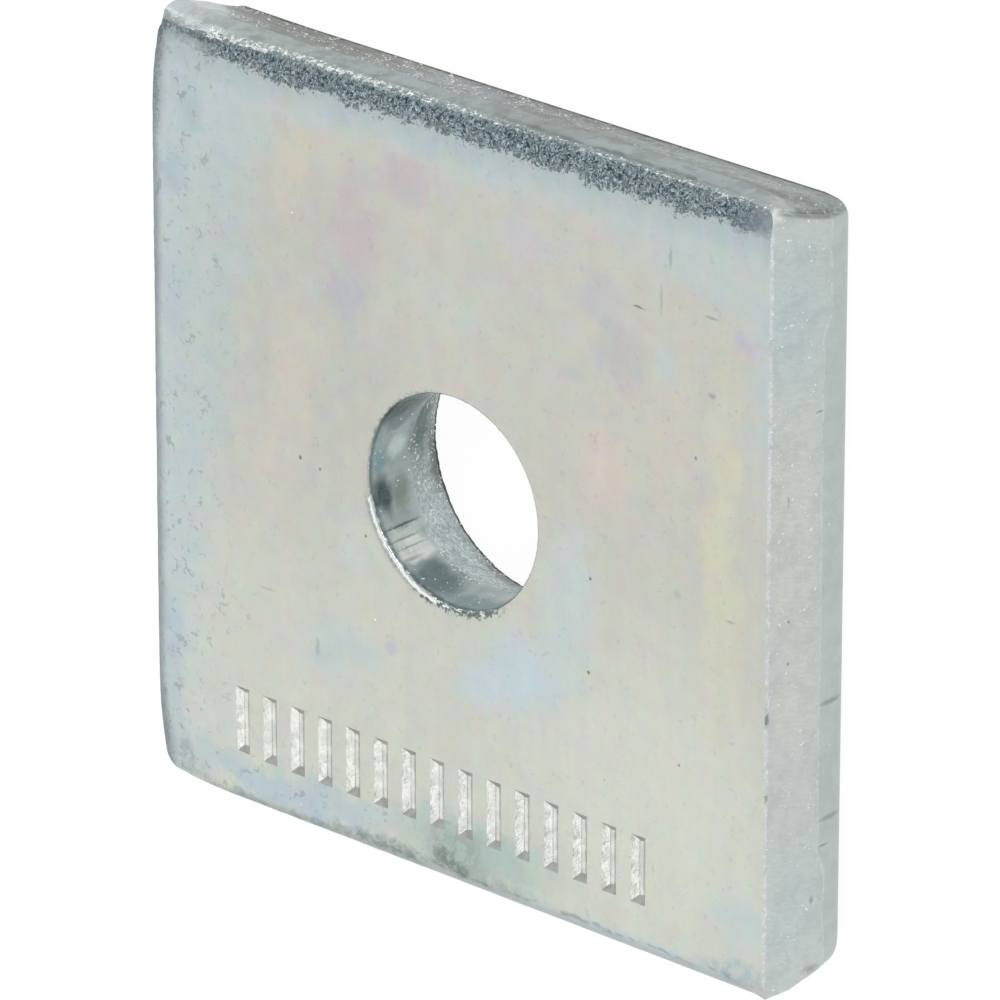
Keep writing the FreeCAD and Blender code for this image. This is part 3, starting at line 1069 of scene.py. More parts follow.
@dataclass(frozen=True)
class FaceZinc:
    """Bright zinc on the rolled faces: warm in the middle, blue near the edges, sandy on the roll, with painted shade
    on the roll and painted highlights on its crest.
    """

    warm: Colour = grey(193, 192, 183)
    pale: Colour = grey(198, 200, 190)
    cool: Colour = grey(185, 196, 196)
    # Dark blue-grey of the sandy roll: partly the sand's own tone, partly painted shade standing for the darker
    # reflection there.
    sand_and_shade: Colour = grey(54, 80, 91)
    streak: Colour = grey(168, 176, 174)
    fleck_glint: Colour = grey(202, 224, 228)
    worn_crest: Colour = grey(164, 180, 176)
    # Near white: zinc beads on the crest and glints on the face, painted as highlights.
    bead_glint: Colour = grey(250, 252, 250)
    mark: Colour = grey(112, 124, 126)
    line: Colour = grey(104, 122, 114)
    rail: Colour = grey(150, 157, 161)
    foot: Colour = grey(196, 206, 208)
    tick: Colour = grey(84, 100, 100)
    patches: tuple[Patch, ...] = (
        Patch((-11.0, 6.0, 6.3), (9.0, 12.0, 9), grey(180, 182, 174), 0.4),
        Patch((13.0, -12.0, 6.3), (9.0, 9.0, 9), grey(208, 211, 199), 0.5),
        Patch((-16.4, -15.6, 6.3), (2.4, 2.8, 9), grey(194, 199, 193), 0.6),
        Patch((7.6, -5.0, 6.3), (2.2, 2.8, 9), grey(191, 201, 199), 0.65),
        Patch((4.8, -7.8, 6.3), (3.2, 2.3, 9), grey(187, 202, 208), 0.85),
        Patch((2.4, -9.6, 6.3), (2.0, 1.3, 9), grey(188, 201, 208), 0.8),
        Patch((7.9, -1.6, 6.3), (1.5, 2.8, 9), grey(191, 201, 200), 0.75),
        Patch((-6.8, 13.0, 6.3), (2.8, 2.6, 9), grey(190, 178, 180), 0.8),
        Patch((-7.2, 9.4, 6.3), (1.6, 1.9, 9), grey(178, 179, 187), 0.75),
        Patch((-2.9, 15.9, 6.3), (2.8, 1.3, 9), grey(188, 178, 183), 0.75),
        Patch((-10.6, 14.6, 6.3), (0.9, 4.2, 9), grey(203, 195, 177), 0.5),
        Patch((-10.4, 4.5, 6.3), (1.8, 4.4, 9), grey(201, 193, 183), 0.6),
        Patch((-12.0, -0.8, 6.3), (2.0, 3.8, 9), grey(202, 194, 186), 0.5),
        Patch((4.8, 15.1, 6.3), (1.6, 1.1, 9), grey(193, 188, 199), 0.6),
        Patch((9.6, 13.4, 6.3), (2.4, 1.5, 9), grey(185, 185, 192), 0.6),
        Patch((11.2, 10.6, 6.3), (2.2, 2.4, 9), grey(184, 181, 182), 0.65),
        Patch((9.6, 4.5, 6.3), (2.0, 2.3, 9), grey(208, 193, 183), 0.65),
        Patch((14.0, 7.6, 6.3), (2.2, 4.0, 9), grey(205, 195, 185), 0.4),
        Patch((17.5, 2.8, 6.3), (1.3, 11.5, 9), grey(203, 201, 179), 0.7),
        Patch((18.9, 13.2, 6.3), (0.5, 0.9, 9), grey(186, 182, 199), 0.7),
        Patch((-0.4, 10.4, 6.3), (3.4, 2.0, 9), grey(192, 199, 189), 0.5),
        Patch((-7.6, -10.2, 6.3), (2.7, 1.7, 9), grey(186, 197, 195), 0.75),
        Patch((-6.4, -4.0, 6.3), (1.6, 2.0, 9), grey(192, 200, 196), 0.5),
        Patch((16.2, 16.6, 6.3), (5.4, 1.4, 9), grey(186, 196, 195), 0.8),
        Patch((13.9, 11.4, 6.3), (0.9, 1.3, 9), grey(189, 198, 199), 0.6),
        Patch((19.2, -16.6, 6.3), (1.6, 2.4, 9), grey(187, 201, 201), 0.7),
        Patch((-17.8, 16.4, 6.3), (1.1, 1.5, 9), grey(162, 177, 183), 0.6),
        Patch((-18.2, 12.8, 6.3), (1.2, 2.0, 9), grey(167, 181, 189), 0.6),
        Patch((-18.9, 6.0, 6.3), (1.0, 2.6, 9), grey(173, 185, 192), 0.5),
        Patch((-19.2, -14.0, 6.3), (1.1, 4.0, 9), grey(169, 184, 192), 0.6),
        Patch((-12.0, -18.9, 6.3), (8.0, 1.2, 9), grey(171, 190, 196), 0.8),
        Patch((1.5, -18.3, 6.3), (6.0, 1.9, 9), grey(165, 184, 178), 0.85),
    )
    stains: tuple[Patch, ...] = (
        Patch((-0.1, -19.5, 6.0), (1.2, 0.8, 9), grey(96, 108, 98), 0.95, 0.35),
        Patch((0.3, -18.5, 6.0), (2.2, 1.7, 9), grey(140, 152, 142), 0.65),
        Patch((3.0, -19.8, 6.0), (2.4, 0.6, 9), grey(140, 154, 148), 0.6),
        Patch((-4.5, -20.0, 6.0), (4.2, 0.7, 9), grey(118, 134, 132), 0.75),
        Patch((-12.0, -20.4, 6.0), (8.0, 0.35, 9), grey(134, 152, 156), 0.7),
        Patch((11.5, -20.2, 6.0), (9.0, 0.55, 9), grey(180, 200, 209), 0.75),
        Patch((18.4, -19.6, 6.0), (2.4, 0.8, 9), grey(152, 172, 184), 0.7),
        Patch((18.9, 19.6, 6.1), (1.3, 0.5, 9), grey(112, 130, 142), 0.8),
        Patch((-18.8, -19.2, 5.5), (0.7, 1.2, 9), grey(140, 154, 156), 0.6),
        Patch((-18.6, 19.7, 5.6), (1.8, 0.5, 9), grey(120, 140, 150), 0.6),
    )
    scars: tuple[Patch, ...] = (
        Patch((14.1, 16.7, 6.3), (0.11, 0.6, 9), grey(148, 162, 160), 0.7),
        Patch((13.55, 14.4, 6.3), (0.11, 0.85, 9), grey(160, 170, 162), 0.65),
        Patch((12.1, 13.6, 6.3), (0.42, 0.07, 9), grey(118, 122, 112), 0.85),
        Patch((16.7, 14.3, 6.3), (0.5, 0.08, 9), grey(148, 156, 148), 0.75),
        Patch((16.8, 10.3, 6.3), (0.27, 0.16, 9), grey(146, 156, 154), 0.75),
        Patch((8.0, 9.0, 6.3), (1.0, 0.5, 9), grey(180, 184, 182), 0.55),
        Patch((9.7, 10.3, 6.3), (0.36, 1.1, 9), grey(178, 184, 188), 0.55),
        Patch((15.8, 6.8, 6.3), (0.1, 0.1, 9), grey(118, 122, 118), 0.8),
        Patch((9.1, -1.4, 6.3), (0.11, 0.11, 9), grey(90, 98, 94), 0.9),
        Patch((9.0, -6.4, 6.3), (0.12, 0.12, 9), grey(86, 94, 92), 0.9),
        Patch((14.7, -0.6, 6.3), (0.3, 0.3, 9), grey(166, 174, 172), 0.65),
        Patch((18.1, -1.1, 6.3), (0.38, 0.06, 9), grey(156, 162, 152), 0.75),
        Patch((14.9, -9.6, 6.3), (0.11, 0.11, 9), grey(126, 130, 120), 0.8),
        Patch((-10.2, -0.4, 6.3), (0.12, 0.12, 9), grey(94, 98, 94), 0.9),
        Patch((-8.85, -0.7, 6.3), (0.1, 0.1, 9), grey(104, 108, 104), 0.85),
        Patch((-5.75, -3.4, 6.3), (0.1, 0.1, 9), grey(104, 106, 102), 0.85),
        Patch((-9.1, -10.4, 6.3), (0.16, 0.6, 9), grey(158, 168, 166), 0.65),
        Patch((-4.1, -9.0, 6.3), (0.5, 0.45, 9), grey(176, 182, 190), 0.65),
        Patch((-12.5, -8.2, 6.3), (0.8, 0.06, 9), grey(164, 168, 158), 0.6),
        Patch((-7.5, -2.8, 6.3), (0.9, 0.6, 9), grey(178, 188, 190), 0.5),
    )
    roughness: float = 0.36

    def tint(self, sheet: Sheet, place: bpy.types.NodeSocket) -> object:
        """Lay the blue margins and the soft patches over the warm middle.

        Args:
            sheet: The material's sheet.
            place: The place in millimetres.

        Returns:
            The colour of the clean face.
        """
        bent = warp(sheet, warp(sheet, place, 1.2, 0.7), 0.28, 2.2)
        x, y, _ = sheet.axes(bent)
        margin = (y * -0.17 + x).band(-13.6, -17.4) | y.band(16.6, 18.4) | x.band(18.0, 20.5) * y.band(3.0, 13.0)
        colour = sheet.blend(margin, sheet.blend(y.band(4.0, -14.0), self.warm, self.pale), self.cool)
        colour = lay_patches(sheet, bent, self.patches, colour)
        return sheet.blend(0.26, colour, sheet.cloud(place, 0.75, 3.0, 0.6).outputs[1], "SOFT_LIGHT")

    def wear(self, sheet: Sheet, effects: Effects, place: object, bent: object, colour: object) -> object:
        """Lay the rolling streaks, the rubbed strip at -X, the scratches, smudges, pits, scars and glints.

        Args:
            sheet: The material's sheet.
            effects: The shared effects.
            place: The place in millimetres.
            bent: The same, with a ragged shift.
            colour: The clean face's colour.

        Returns:
            The worn face's colour.
        """
        x, y, _ = sheet.axes(place)
        lines = use(sheet, effects.streaks, Place=sheet.vector("MULTIPLY", place, (1.0, 0.07, 1.0)), Scale=0.8)
        colour = sheet.blend(lines["Tone"] * 0.1, colour, self.streak)
        soft = sheet.noise(place, 0.35)
        colour = sheet.blend((soft * 1.2 + x).band(-18.7, -20.2) * 0.95, colour, self.rail)
        worn = ((soft * 7.0 + x).band(-10.5, -14.0) | y.band(-15.5, -19.5) * x.band(2.0, -4.0)) * 0.85 + 0.15
        scratches = use(sheet, effects.scratches, Place=bent, Scale=0.8, Width=0.04, Amount=0.45)["Mask"]
        marks = (scratches | sheet.noise(bent, 2.1, 3.0, 0.7).band(0.56, 0.78)) * worn * 0.42
        faint = use(sheet, effects.scratches, Place=warp(sheet, place, 0.7, 0.5), Scale=1.1, Width=0.05, Amount=0.2)
        pits = use(sheet, effects.pits, Place=place, Scale=1.1, Size=0.09, Amount=0.25)
        colour = sheet.blend(marks | faint["Mask"] * 0.16 | pits["Mask"] * 0.4, colour, self.mark)
        colour = lay_patches(sheet, warp(sheet, place, 2.5, 0.12), self.scars, colour)
        # Painted glints: scattered white dots on the face.
        glints = use(sheet, effects.pits, Place=place, Scale=0.55, Size=0.05, Amount=0.35)
        return sheet.blend(glints["Mask"] * 0.8, colour, self.bead_glint)

    def sand(
        self, sheet: Sheet, grain: dict[str, Signal], place: object, bent: object, colour: object
    ) -> tuple[object, Signal]:
        """Lay the sandy band along the rolled edges at +Y and -X, dark partly from its grain and partly as painted
        shade, with its bright flecks painted as glints.

        Args:
            sheet: The material's sheet.
            grain: The sandy grain.
            place: The place in millimetres.
            bent: The same, with a ragged shift.
            colour: The worn face's colour.

        Returns:
            The colour, and how much of the dark sand and painted shade lies on the place.
        """
        x, y, _ = sheet.axes(place)
        ragged = grain["Height"] * 1.6 + -0.8
        wander = sheet.noise(place, 0.6, 3.0) * 1.2 + -0.6
        soft = y + wander
        colour = sheet.blend(soft.band(17.4, 19.2) * x.band(-20.0, -16.0) * 0.14, colour, self.sand_and_shade)
        cover = soft.band(18.5, 19.9) * 0.46 + 0.19
        upper = (cover - grain["Height"]).band(-0.06, 0.08) * 0.65 + soft.band(18.9, 20.0) * 0.35
        upper = upper * ((x + wander).band(-18.2, -15.0) * x.band(19.8, 18.2) * 0.85 + 0.15)
        # Near the crest the sand is thinned, less toward +X, where the darker sand stays as painted shade under the
        # crest.
        upper = upper * ((soft + ragged).band(20.0, 20.5) * self.bright(x) * -0.6 + 1.0)
        roll = upper | (x - ragged).band(-19.9, -20.7) * 0.3
        colour = sheet.blend(roll * (grain["Tone"] * -0.86 + 1.04), colour, self.sand_and_shade)
        # Painted glints: bright flecks in the sandy band.
        flecks = sheet.noise(bent, 7.5, 1.0).band(0.54, 0.61)
        return sheet.blend(flecks * upper * 0.85, colour, self.fleck_glint), roll

    def bright(self, x: Signal) -> Signal:
        """How much the crest at +Y is lightened: fully at -X, little at +X, where it stays darker as painted shade
        under the crest.
        """
        return x.band(-4.0, 8.0) * -0.7 + 1.0

    def stain(self, sheet: Sheet, grain: dict[str, Signal], place: object, bent: object, colour: object) -> object:
        """Lay the stains, the broken line along the foot at -Y, and the lighter strip beyond that line, partly painted
        reflection.

        Args:
            sheet: The material's sheet.
            grain: The sandy grain.
            place: The place in millimetres.
            bent: The same, with a ragged shift.
            colour: The colour under them.

        Returns:
            The stained colour.
        """
        x, y, _ = sheet.axes(place)
        slanted = sheet.vector("MULTIPLY", sheet.turn(bent, "Z", 30), (1.0, 0.35, 1.0))
        torn = sheet.noise(slanted, 2.4, 3.0, 0.7).band(0.36, 0.6) * 0.75 + 0.25
        colour = lay_patches(sheet, warp(sheet, bent, 0.8, 0.8), self.stains, colour, torn)
        edge = grain["Height"] * 0.3 + (sheet.noise(place, 0.55) * 0.9 + y + 19.35)
        # Lighter cool strip beyond the broken line: partly the zinc's own tone, partly painted light for the lighter
        # reflection of the rolled edge.
        colour = sheet.blend(edge.band(0.0, -0.3) * x.band(-14.0, 8.0) * 0.6, colour, self.foot)
        broken = sheet.noise(sheet.vector("MULTIPLY", place, (1.0, 0.3, 1.0)), 0.9).band(0.42, 0.55)
        dashes = sheet.math("ABSOLUTE", edge).band(0.16, 0.02) * broken * x.band(-12.0, 2.0)
        return sheet.blend(dashes * 0.45, colour, self.line)

    def burr(self, sheet: Sheet, place: object, colour: object) -> tuple[object, Signal]:
        """Lay the worn crest, the zinc beads on it painted white as highlights, the crumbs round the bore's mouth and a
        thin dark line along the crest near -X.

        Args:
            sheet: The material's sheet.
            place: The place in millimetres.
            colour: The colour under them.

        Returns:
            The colour, and where the beads painted as highlights are.
        """
        x, y, _ = sheet.axes(place)
        crest, lumps = sheet.painted("crest_mask"), sheet.noise(place, 5.0, 2.0, 0.6)
        # Lighter worn crest, fading toward +X, where the darker crest stands as painted shade.
        colour = sheet.blend(crest.band(0.45, 1.0) * self.bright(x) * 0.5, colour, self.worn_crest)
        # Zinc beads on the crest, painted white as highlights.
        bead_glint = (lumps * 2.0 + crest).band(1.92, 2.14)
        colour = sheet.blend(bead_glint * 0.95, colour, self.bead_glint)
        reach = sheet.length(sheet.vector("MULTIPLY", place, (1.0, 1.0, 0.0)))
        left = (lumps * 0.8 + reach).band(6.2, 6.02) * (y - x).band(6.4, 7.6) * 0.7
        under = (lumps * 1.4 + reach).band(6.68, 6.44) * y.band(-4.4, -5.2) * x.band(-3.4, -2.0) * 1.3
        # A thin dark line along the crest near -X, in the ticks' dark colour.
        lone = x.band(-15.0, -16.8) * y.band(18.6, 19.2) * crest.band(0.08, 0.16)
        crumbs = (left | under | lone) * lumps.band(0.6, 0.48) * (1.0 - bead_glint)
        return sheet.blend(crumbs * 0.65, colour, self.tick), bead_glint

    def make(self, effects: Effects, sandy: bool) -> bpy.types.Material:
        """Build the material of the flat or of its rolled border.

        Args:
            effects: The shared effects.
            sandy: Whether it is the border, with its grain and its bright crest.

        Returns:
            The material.
        """
        coat = Coat.begin("zinc_rolled" if sandy else "zinc_face")
        sheet, place = coat.sheet, coat.place
        bent = warp(sheet, warp(sheet, place, 4.0, 0.12), 1.1, 0.4)
        colour = self.wear(sheet, effects, place, bent, self.tint(sheet, place))
        fine = sheet.noise(place, 4.0, 2.0, 0.6)
        relief = fine * 0.12 + sheet.noise(place, 0.4, 1.0) * 1.2
        rough = fine * 0.16 + (self.roughness - 0.08)
        metal: object = METAL
        if sandy:
            grain = use(sheet, effects.grain, Place=bent, Scale=5.0)
            colour, roll = self.sand(sheet, grain, place, bent, colour)
            colour, bead_glint = self.burr(sheet, place, self.stain(sheet, grain, place, bent, colour))
            relief = grain["Height"] * roll * 3.5 + relief
            rough, metal = bead_glint * -0.15 + rough, bead_glint * -0.5 + METAL
        return coat.finish(colour, rough, metal, sheet.bump(relief, 0.05))


@dataclass(frozen=True)
class BrokenZinc:
    """Zinc over sheared steel: a burnished land, then sandy broken steel with sparkles painted as white glints."""

    name: str
    land: Colour
    broken: Colour
    dark: Colour
    lean: float = 0.0
    grain_stretch: tuple[float, float, float] = (1.0, 1.0, 1.0)
    grain_scale: float = 4.5
    grain_share: float = 0.35
    streak_share: float = 0.15
    specks: float = 0.8
    land_specks: float = 0.25
    speck_stretch: tuple[float, float, float] = (1.5, 1.2, 1.0)
    speck_lean: float = 0.0
    tear: float = 0.0
    speck_side: tuple[float, float] = (-99.0, -90.0)
    speck_fade: tuple[float, float] = (90.0, 99.0)
    border: float = 0.25
    foot: float = 0.85
    relief: float = 1.2
    lip: float = 0.0
    round_bore: bool = False
    patches: tuple[Patch, ...] = ()
    nicks: tuple[Patch, ...] = ()
    sparkle_glint: Colour = grey(250, 253, 252)
    worn_crest: Colour = grey(172, 186, 182)
    crest_share: float = 0.6
    ridge_highlight: Colour = grey(234, 236, 240)
    blotch: float = 0.25
    seam: Colour = grey(96, 108, 108)
    shadow: Colour = grey(50, 54, 54)
    land_roughness: float = 0.32
    broken_roughness: float = 0.46

    def where(self, sheet: Sheet, place: bpy.types.NodeSocket) -> bpy.types.NodeSocket:
        """Give the place that patches are laid by: round the bore it is the arc's length, not x and y.

        Args:
            sheet: The material's sheet.
            place: The place in millimetres.

        Returns:
            The place, or arc length from the -X side, radius and height.
        """
        if not self.round_bore:
            return place
        x, y, z = sheet.axes(place)
        turn = sheet.math("ARCTAN2", y * -1.0, x * -1.0)
        return sheet.add("ShaderNodeCombineXYZ", {0: turn * BORE_RADIUS, 1: 0.0, 2: z}).outputs[0]

    def sparkle(self, sheet: Sheet, effects: Effects, place: object, fracture: Signal) -> Signal:
        """Work out where broken grains sparkle.

        Args:
            sheet: The material's sheet.
            effects: The shared effects.
            place: The place in millimetres.
            fracture: How broken the surface is.

        Returns:
            A mask of the sparkles.
        """
        x, y, _ = sheet.axes(place)
        share = fracture * (1.0 - self.land_specks) + self.land_specks
        share = share * (x.band(*self.speck_fade) * -0.45 + 1.0) * (y.band(*self.speck_side) * 0.5 + 0.5)
        short = sheet.vector("MULTIPLY", sheet.turn(place, "Y", self.speck_lean), self.speck_stretch)
        return use(sheet, effects.sparkles, Place=short, Scale=5.5, Amount=share * self.specks)["Mask"]

    def make(self, effects: Effects) -> bpy.types.Material:
        """Build the material.

        Args:
            effects: The shared effects.

        Returns:
            The material.
        """
        coat = Coat.begin(self.name)
        sheet, place = coat.sheet, coat.place
        fracture, crest, seam = [sheet.painted(f"{name}_mask") for name in ("fracture", "crest", "seam")]
        z = sheet.axes(place)[2]
        streaks = use(sheet, effects.streaks, Place=sheet.vector("MULTIPLY", place, (1.0, 1.0, 0.1)), Scale=1.3)
        leaned = sheet.vector("MULTIPLY", sheet.turn(place, "X", self.lean), self.grain_stretch)
        grain = use(sheet, effects.grain, Place=leaned, Scale=self.grain_scale)
        bent = warp(sheet, warp(sheet, place, 3.0, 0.12), 0.9, 0.55)
        flat = sheet.vector("MULTIPLY", bent, (1.0, 1.0, 0.6))
        torn = sheet.noise(flat, 2.2, 3.0, 0.7).band(0.42, 0.6) * -self.tear + 1.0
        colour = sheet.blend(fracture, self.land, self.broken)
        colour = lay_patches(sheet, self.where(sheet, bent), self.patches, colour, torn)
        worn = streaks["Tone"] * self.streak_share * (1.0 - fracture) + grain["Tone"] * self.grain_share * fracture
        colour = sheet.blend(worn, colour, self.dark)
        colour = sheet.blend(sheet.noise(bent, 1.0, 3.0, 0.6).band(0.42, 0.66) * self.blotch, colour, self.dark)
        colour = lay_patches(sheet, self.where(sheet, warp(sheet, place, 5.0, 0.09)), self.nicks, colour)
        lumps = sheet.noise(place, 5.0, 2.0, 0.6)
        # The burr's ridge along the top of the lip: a real ridge, painted near white as a highlight.
        lip = (lumps * 0.3 + z).band(6.2, 6.28) * sheet.noise(place, 1.3, 3.0, 0.65).band(0.38, 0.5) * self.lip
        colour = sheet.blend(lip, colour, self.ridge_highlight)
        colour = sheet.blend(crest.band(0.5, 1.0) * self.crest_share, colour, self.worn_crest)
        colour = sheet.blend(seam * 0.75, colour, self.seam)
        colour = sheet.blend(z.band(0.32, 0.14) * self.foot, colour, self.shadow)
        middle = sheet.math("POWER", fracture * (1.0 - fracture) * 4.0, 4.0)
        middle = middle * grain["Height"].band(0.42, 0.6) * self.border
        bead_glint = (lumps * 2.0 + crest).band(1.92, 2.14) * 0.95
        # Painted highlights: sparkles, zinc beads on the crest, grains at the land's border and bits of the lip are
        # painted near white.
        shine = self.sparkle(sheet, effects, place, fracture) | bead_glint | middle | lumps.band(0.56, 0.62) * lip
        colour = sheet.blend(shine, colour, self.sparkle_glint)
        rough = shine * -0.2 + (fracture * (self.broken_roughness - self.land_roughness) + self.land_roughness)
        relief = grain["Height"] * fracture * self.relief + (1.0 - fracture) * streaks["Height"]
        return coat.finish(colour, rough, METAL, sheet.bump(relief, 0.07))


@dataclass(frozen=True)
class StampedZinc:
    """Bright zinc in the stamped strokes, smooth where the punch pressed it."""

    colour: Colour = grey(222, 223, 216)
    shade: Colour = grey(150, 156, 152)
    roughness: float = 0.3

    def make(self, effects: Effects) -> bpy.types.Material:
        """Build the material.

        Args:
            effects: The shared effects.

        Returns:
            The material.
        """
        coat = Coat.begin("zinc_stamped")
        sheet = coat.sheet
        grain = use(sheet, effects.grain, Place=coat.place, Scale=1.6)
        colour = sheet.blend(grain["Tone"] * 0.35, self.colour, self.shade)
        return coat.finish(colour, self.roughness, METAL, sheet.bump(grain["Height"], 0.05))


@dataclass
class Studio:
    """The floor, the lamps and the camera."""

    floor_size: float = 40.0
    floor_gap: float = 0.02 * MM
    camera_place: tuple[float, float, float] = (0.31308664, 0.19645833, 0.35042880)
    camera_turn: tuple[float, float, float] = (-22.82212, 42.03463, 0.08275)
    lens: float = 370.24
    lamp_distance: float = 0.9

    def lay_floor(self) -> bpy.types.Object:
        """Lay a plain pale floor, near white, with a faint shadow, that lets the underside be seen from below.

        Returns:
            The floor.
        """
        Bench.clear()
        bpy.ops.mesh.primitive_plane_add(size=self.floor_size, location=(0, 0, -self.floor_gap))
        floor = Bench.take("floor").piece
        material = bpy.data.materials.new("floor_pale")
        material.use_nodes = True
        sheet = Sheet(material.node_tree)
        material.node_tree.nodes.clear()
        lit = sheet.add("ShaderNodeBsdfDiffuse", {"Color": (0.8, 0.8, 0.8, 1)})
        glow = sheet.add("ShaderNodeEmission", {"Color": (1, 1, 1, 1), "Strength": 1.075})
        ray = sheet.add("ShaderNodeLightPath", {})
        shown = Signal(sheet, ray.outputs["Is Camera Ray"]) * 0.88 + Signal(sheet, ray.outputs["Is Glossy Ray"]) * 0.6
        both = sheet.add("ShaderNodeMixShader", {0: shown, 1: lit.outputs[0], 2: glow.outputs[0]})
        from_below = Signal(sheet, sheet.add("ShaderNodeNewGeometry", {}).outputs["Backfacing"])
        from_underside = sheet.math("LESS_THAN", ray.outputs["Ray Length"], 5 * self.floor_gap)
        clear = sheet.add("ShaderNodeBsdfTransparent", {})
        parted = {0: from_below | from_underside, 1: both.outputs[0], 2: clear.outputs[0]}
        sheet.add("ShaderNodeOutputMaterial", {0: sheet.add("ShaderNodeMixShader", parted).outputs[0]})
        floor.data.materials.append(material)
        return floor

    def hang_lamp(
        self, name: str, toward: tuple[float, float, float], size: tuple[float, float], level: float
    ) -> None:
        """Hang a soft rectangular lamp that faces the washer.

        Args:
            name: Its name.
            toward: Direction from the washer to it.
            size: Its width and height.
            level: How bright its surface is, where 1 is white.
        """
        place = Vector(toward).normalized() * self.lamp_distance
        bpy.ops.object.light_add(type="AREA", location=place)
        lamp = bpy.context.object
        lamp.name = name
        lamp.rotation_euler = place.to_track_quat("Z", "Y").to_euler()
        lamp.data.shape = "RECTANGLE"
        lamp.data.size, lamp.data.size_y = size
        lamp.data.energy = level * math.pi * size[0] * size[1]

    def light(self) -> None:
        """Set the world and the lamps."""
        world = bpy.data.worlds.new("studio")
        bpy.context.scene.world = world
        world.use_nodes = True
        world.node_tree.nodes["Background"].inputs["Color"].default_value = (0.5, 0.51, 0.52, 1)
        self.hang_lamp("key", (-0.62, -0.389, 0.682), (0.9, 0.9), 0.72)
        self.hang_lamp("crest_strip", (-0.62, 0.785, 0.12), (0.7, 0.16), 1.8)
        self.hang_lamp("left_fill", (-0.89, -0.386, 0.2), (0.45, 0.4), 0.22)
        self.hang_lamp("foot_fill", (-0.615, -0.76, 0.2), (0.5, 0.4), 0.22)
        self.hang_lamp("rim_fill", (0.4, 0.6, 0.68), (0.4, 0.4), 2.4)
        self.hang_lamp("stamp_fill", (0.42, -0.389, 0.814), (0.4, 0.4), 1.3)

    def place_camera(self) -> None:
        """Create the camera at the photograph's viewing angle."""
        data = bpy.data.cameras.new("camera")
        camera = bpy.data.objects.new("camera", data)
        bpy.context.scene.collection.objects.link(camera)
        camera.location = self.camera_place
        camera.rotation_euler = Euler([math.radians(turn) for turn in self.camera_turn], "XYZ")
        data.lens = self.lens
        data.sensor_width = 36.0
        data.clip_start = 0.01
        bpy.context.scene.camera = camera


